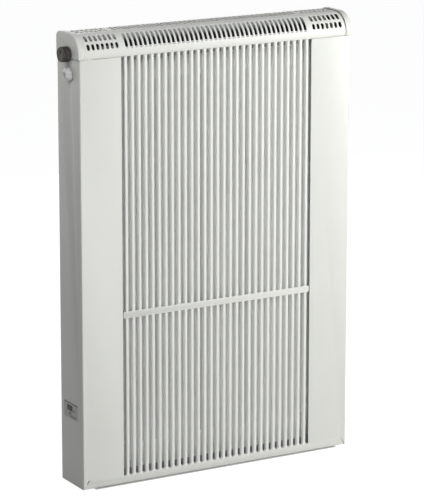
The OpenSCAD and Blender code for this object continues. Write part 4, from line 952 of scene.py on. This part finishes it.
# %% Screws in their seats
SCREW_X, SCREW_Y, ARM_ZS, SCREW_RISE, DRIVEN_ON = 172, -16, (235, 655), 6.25, 0.9
seats = bpy.data.meshes.new("screw_seats")
spots = [(side, z + dz) for side in (-1, 1) for z in ARM_ZS for dz in (-SCREW_RISE, SCREW_RISE)]
turns = [math.pi * (side > 0) for side, _ in spots]
seats.from_pydata([at(side * SCREW_X, SCREW_Y, z) for side, z in spots], [], [])
seats.attributes.new("turn", "FLOAT", "POINT").data.foreach_set("value", turns)
tree, given, close = recipe("seated_screws", {"Shape": "Object", "Material": "Material"})
turn = add(tree, "GeometryNodeInputNamedAttribute", {"Name": "turn"}, data_type="FLOAT").outputs[0]
index = add(tree, "GeometryNodeInputIndex").outputs[0]
drive = add(tree, "ShaderNodeMath", (index, DRIVEN_ON), operation="MULTIPLY").outputs[0]
angles = add(tree, "ShaderNodeCombineXYZ", {"X": drive, "Z": turn}).outputs[0]
shape = add(tree, "GeometryNodeObjectInfo", {"Object": given["Shape"]}).outputs["Geometry"]
seated = add(tree, "GeometryNodeInstanceOnPoints", {
    "Points": given["Geometry"], "Instance": shape, "Rotation": angles,
})
screws = cook("pan_head_screws", close(seated.outputs[0]), seats, Shape=one_screw, Material=zinc_plate)
stands_for(keep(screws, sharp=40), "bracket_screws")

# %% [markdown]
# # The data plate
# The plate is a printed plastic film with rounded corners. What is printed on the real one isn't copied: a
# dark line along the top, a dark block and a few small marks take its place, and there is no lettering. The
# ink is laid on the film's colour one rectangle after another.

# %% Ink on the film
PLATE_Y, PLATE_Z, PLATE_CORNER = (-70, -13), (133, 164), 2.0
INKS = (
    (PLATE_Y, (162.2, 164), "#3C3D38"), ((-48, -26), (147.5, 159), "#0B0B0A"),
    ((-43, -33), (141.5, 144.5), "#3A3B35"), ((-58, -50), (148, 151.5), "#8E8F86"),
    ((-64, -36), (134.2, 139.5), "#A3A497"), ((-33, -27), (141.5, 144.5), "#E9EAE3"),
)
film, film_shader, film_place = opened(label_film)
film_shader.inputs["Specular IOR Level"].default_value = 0.15
film_part = add(film, "ShaderNodeSeparateXYZ", (film_place,)).outputs


def printed(colour, y_span, z_span, ink):
    """Lays a rectangle of ink on a colour. Its spans are in millimetres."""
    inside = []
    for axis, (low, high), lift_by in (("Y", y_span, 0), ("Z", z_span, HANG_Z)):
        middle, half = ((low + high) / 2 - lift_by) * MM, (high - low) / 2 * MM
        near = add(film, "ShaderNodeMath", (film_part[axis], middle, half), operation="COMPARE")
        inside.append(near.outputs[0])
    both = add(film, "ShaderNodeMath", inside, operation="MULTIPLY").outputs[0]
    return add(film, "ShaderNodeMix", {0: both, 6: colour, 7: linear(ink)}, data_type="RGBA").outputs[2]


colour = film_shader.inputs["Base Color"].links[0].from_socket
for y_span, z_span, ink in INKS:
    colour = printed(colour, y_span, z_span, ink)
film.links.new(colour, film_shader.inputs["Base Color"])
print(len(INKS), "rectangles of ink")

# %% Data plate
SIDE_X, FILM_T, FILM_EDGE = -CASING_HALF, 0.4, 0.08 * MM
skin = cube_between(at(SIDE_X - FILM_T, PLATE_Y[0], PLATE_Z[0]), at(SIDE_X, PLATE_Y[1], PLATE_Z[1]))
across = [e for e in skin.edges if abs(e.verts[0].co.x - e.verts[1].co.x) > FILM_T / 2 * MM]
bmesh.ops.bevel(skin, geom=across, offset=PLATE_CORNER * MM, segments=6, profile=0.5, affect="EDGES")
plate = as_piece("film_plate", skin)
plate.data.materials.append(label_film)
modify(plate, "BEVEL", width=FILM_EDGE, segments=1, limit_method="ANGLE", angle_limit=math.radians(50))
stands_for(keep(plate, sharp=30), "data_plate")

# %% [markdown]
# # Softened edges
# No folded or turned edge is perfectly sharp: it has a radius of a few tenths of a millimetre, thickened by
# paint, and that radius draws the fine bright line that the eye reads as a real edge. A copy of the CAD
# solid is merged into one skin, its flat faces are joined, and every sharp edge gets a small rounded bevel.
# A bevel can throw a corner out by a few hundredths, so the copy is held inside the box of its solid.

# %% Soften the edges of the CAD pieces
WELD, FLAT_ANGLE, EDGE_ANGLE = 0.002 * MM, math.radians(0.4), math.radians(30)


def softened(node, width_mm):
    """A copy of a CAD node with rounded edges."""
    mesh = frame["nodes"][node].data.copy()
    skin = bmesh.new()
    skin.from_mesh(mesh)
    bmesh.ops.remove_doubles(skin, verts=skin.verts, dist=WELD)
    bmesh.ops.dissolve_limit(skin, angle_limit=FLAT_ANGLE, verts=skin.verts, edges=skin.edges)
    for face in skin.faces:
        face.smooth = True
    skin.to_mesh(mesh)
    skin.free()
    piece = link(bpy.data.objects.new(node + "_soft", mesh))
    modify(
        piece, "BEVEL", width=width_mm * MM, segments=2, limit_method="ANGLE", angle_limit=EDGE_ANGLE,
        use_clamp_overlap=False, harden_normals=True, miter_outer="MITER_SHARP",
    )
    keep(piece, sharp=0)
    low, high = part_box(node)
    for v in piece.data.vertices:
        v.co = [min(max(c, a), b) for c, a, b in zip(v.co, low, high)]
    return piece


SOFT_EDGES = {
    "hood_end_cap_left": 0.9, "hood_end_cap_right": 0.9, "grille_crossbar": 0.6, "grille_bottom_rail": 0.3,
    "wall_rail_left": 0.3, "wall_rail_right": 0.3, "casing_brackets": 0.3, "casing_hooks": 0.3,
    "hanger_lugs": 0.6, "rail_buffers": 1.0, "connection_plate": 0.4, "supply_nut": 0.4,
    "blanking_plugs": 0.4, "vent_plug": 0.3, "gland_nut": 0.3, "lockshield_gland": 0.3,
    "lockshield_cap": 0.4, "tee_top_right": 0.4, "tee_bottom_right": 0.4, "tee_bottom_left": 0.4,
    "valve_body": 0.3, "supply_connector": 0.3, "front_water_panel": 0.3, "rear_water_panel": 0.3,
}
for node, width in SOFT_EDGES.items():
    stands_for(softened(node, width), node)
top_rail = softened("grille_top_rail", 0.3)
# The strip behind the bars' tops gets a mid grey, as painted shade under the hood's overhang.
top_rail.data.materials[0] = shade_grey_strip
stands_for(top_rail, "grille_top_rail")

# %% [markdown]
# # Painted shade inside the top of the casing
# The casing's paint covers its outside. The faces that look into the casing near the top, just below the
# hood, get a near-black second finish as painted shade, so that the hood's slots read dark.

# %% Casing
INNER_X, INNER_FRONT, INNER_BACK = 298.6, -90.6, -1.4
PROBE, SHADE_INSIDE_Z = 2.0, 800


def looks_inside(face):
    """Whether a point just in front of a face is inside the upper part of the casing."""
    x, y, z = (face.center + face.normal * PROBE * MM) / MM
    return abs(x) < INNER_X and INNER_FRONT < y < INNER_BACK and z > SHADE_INSIDE_Z - HANG_Z


casing = softened("casing_shell", 0.3)
# Faces that look into the upper casing get the near-black finish, as painted shade.
casing.data.materials.append(shade_dark_inside)
inside = [face for face in casing.data.polygons if looks_inside(face)]
for face in inside:
    face.material_index = 1
print(len(inside), "faces look inside")
stands_for(casing, "casing_shell")
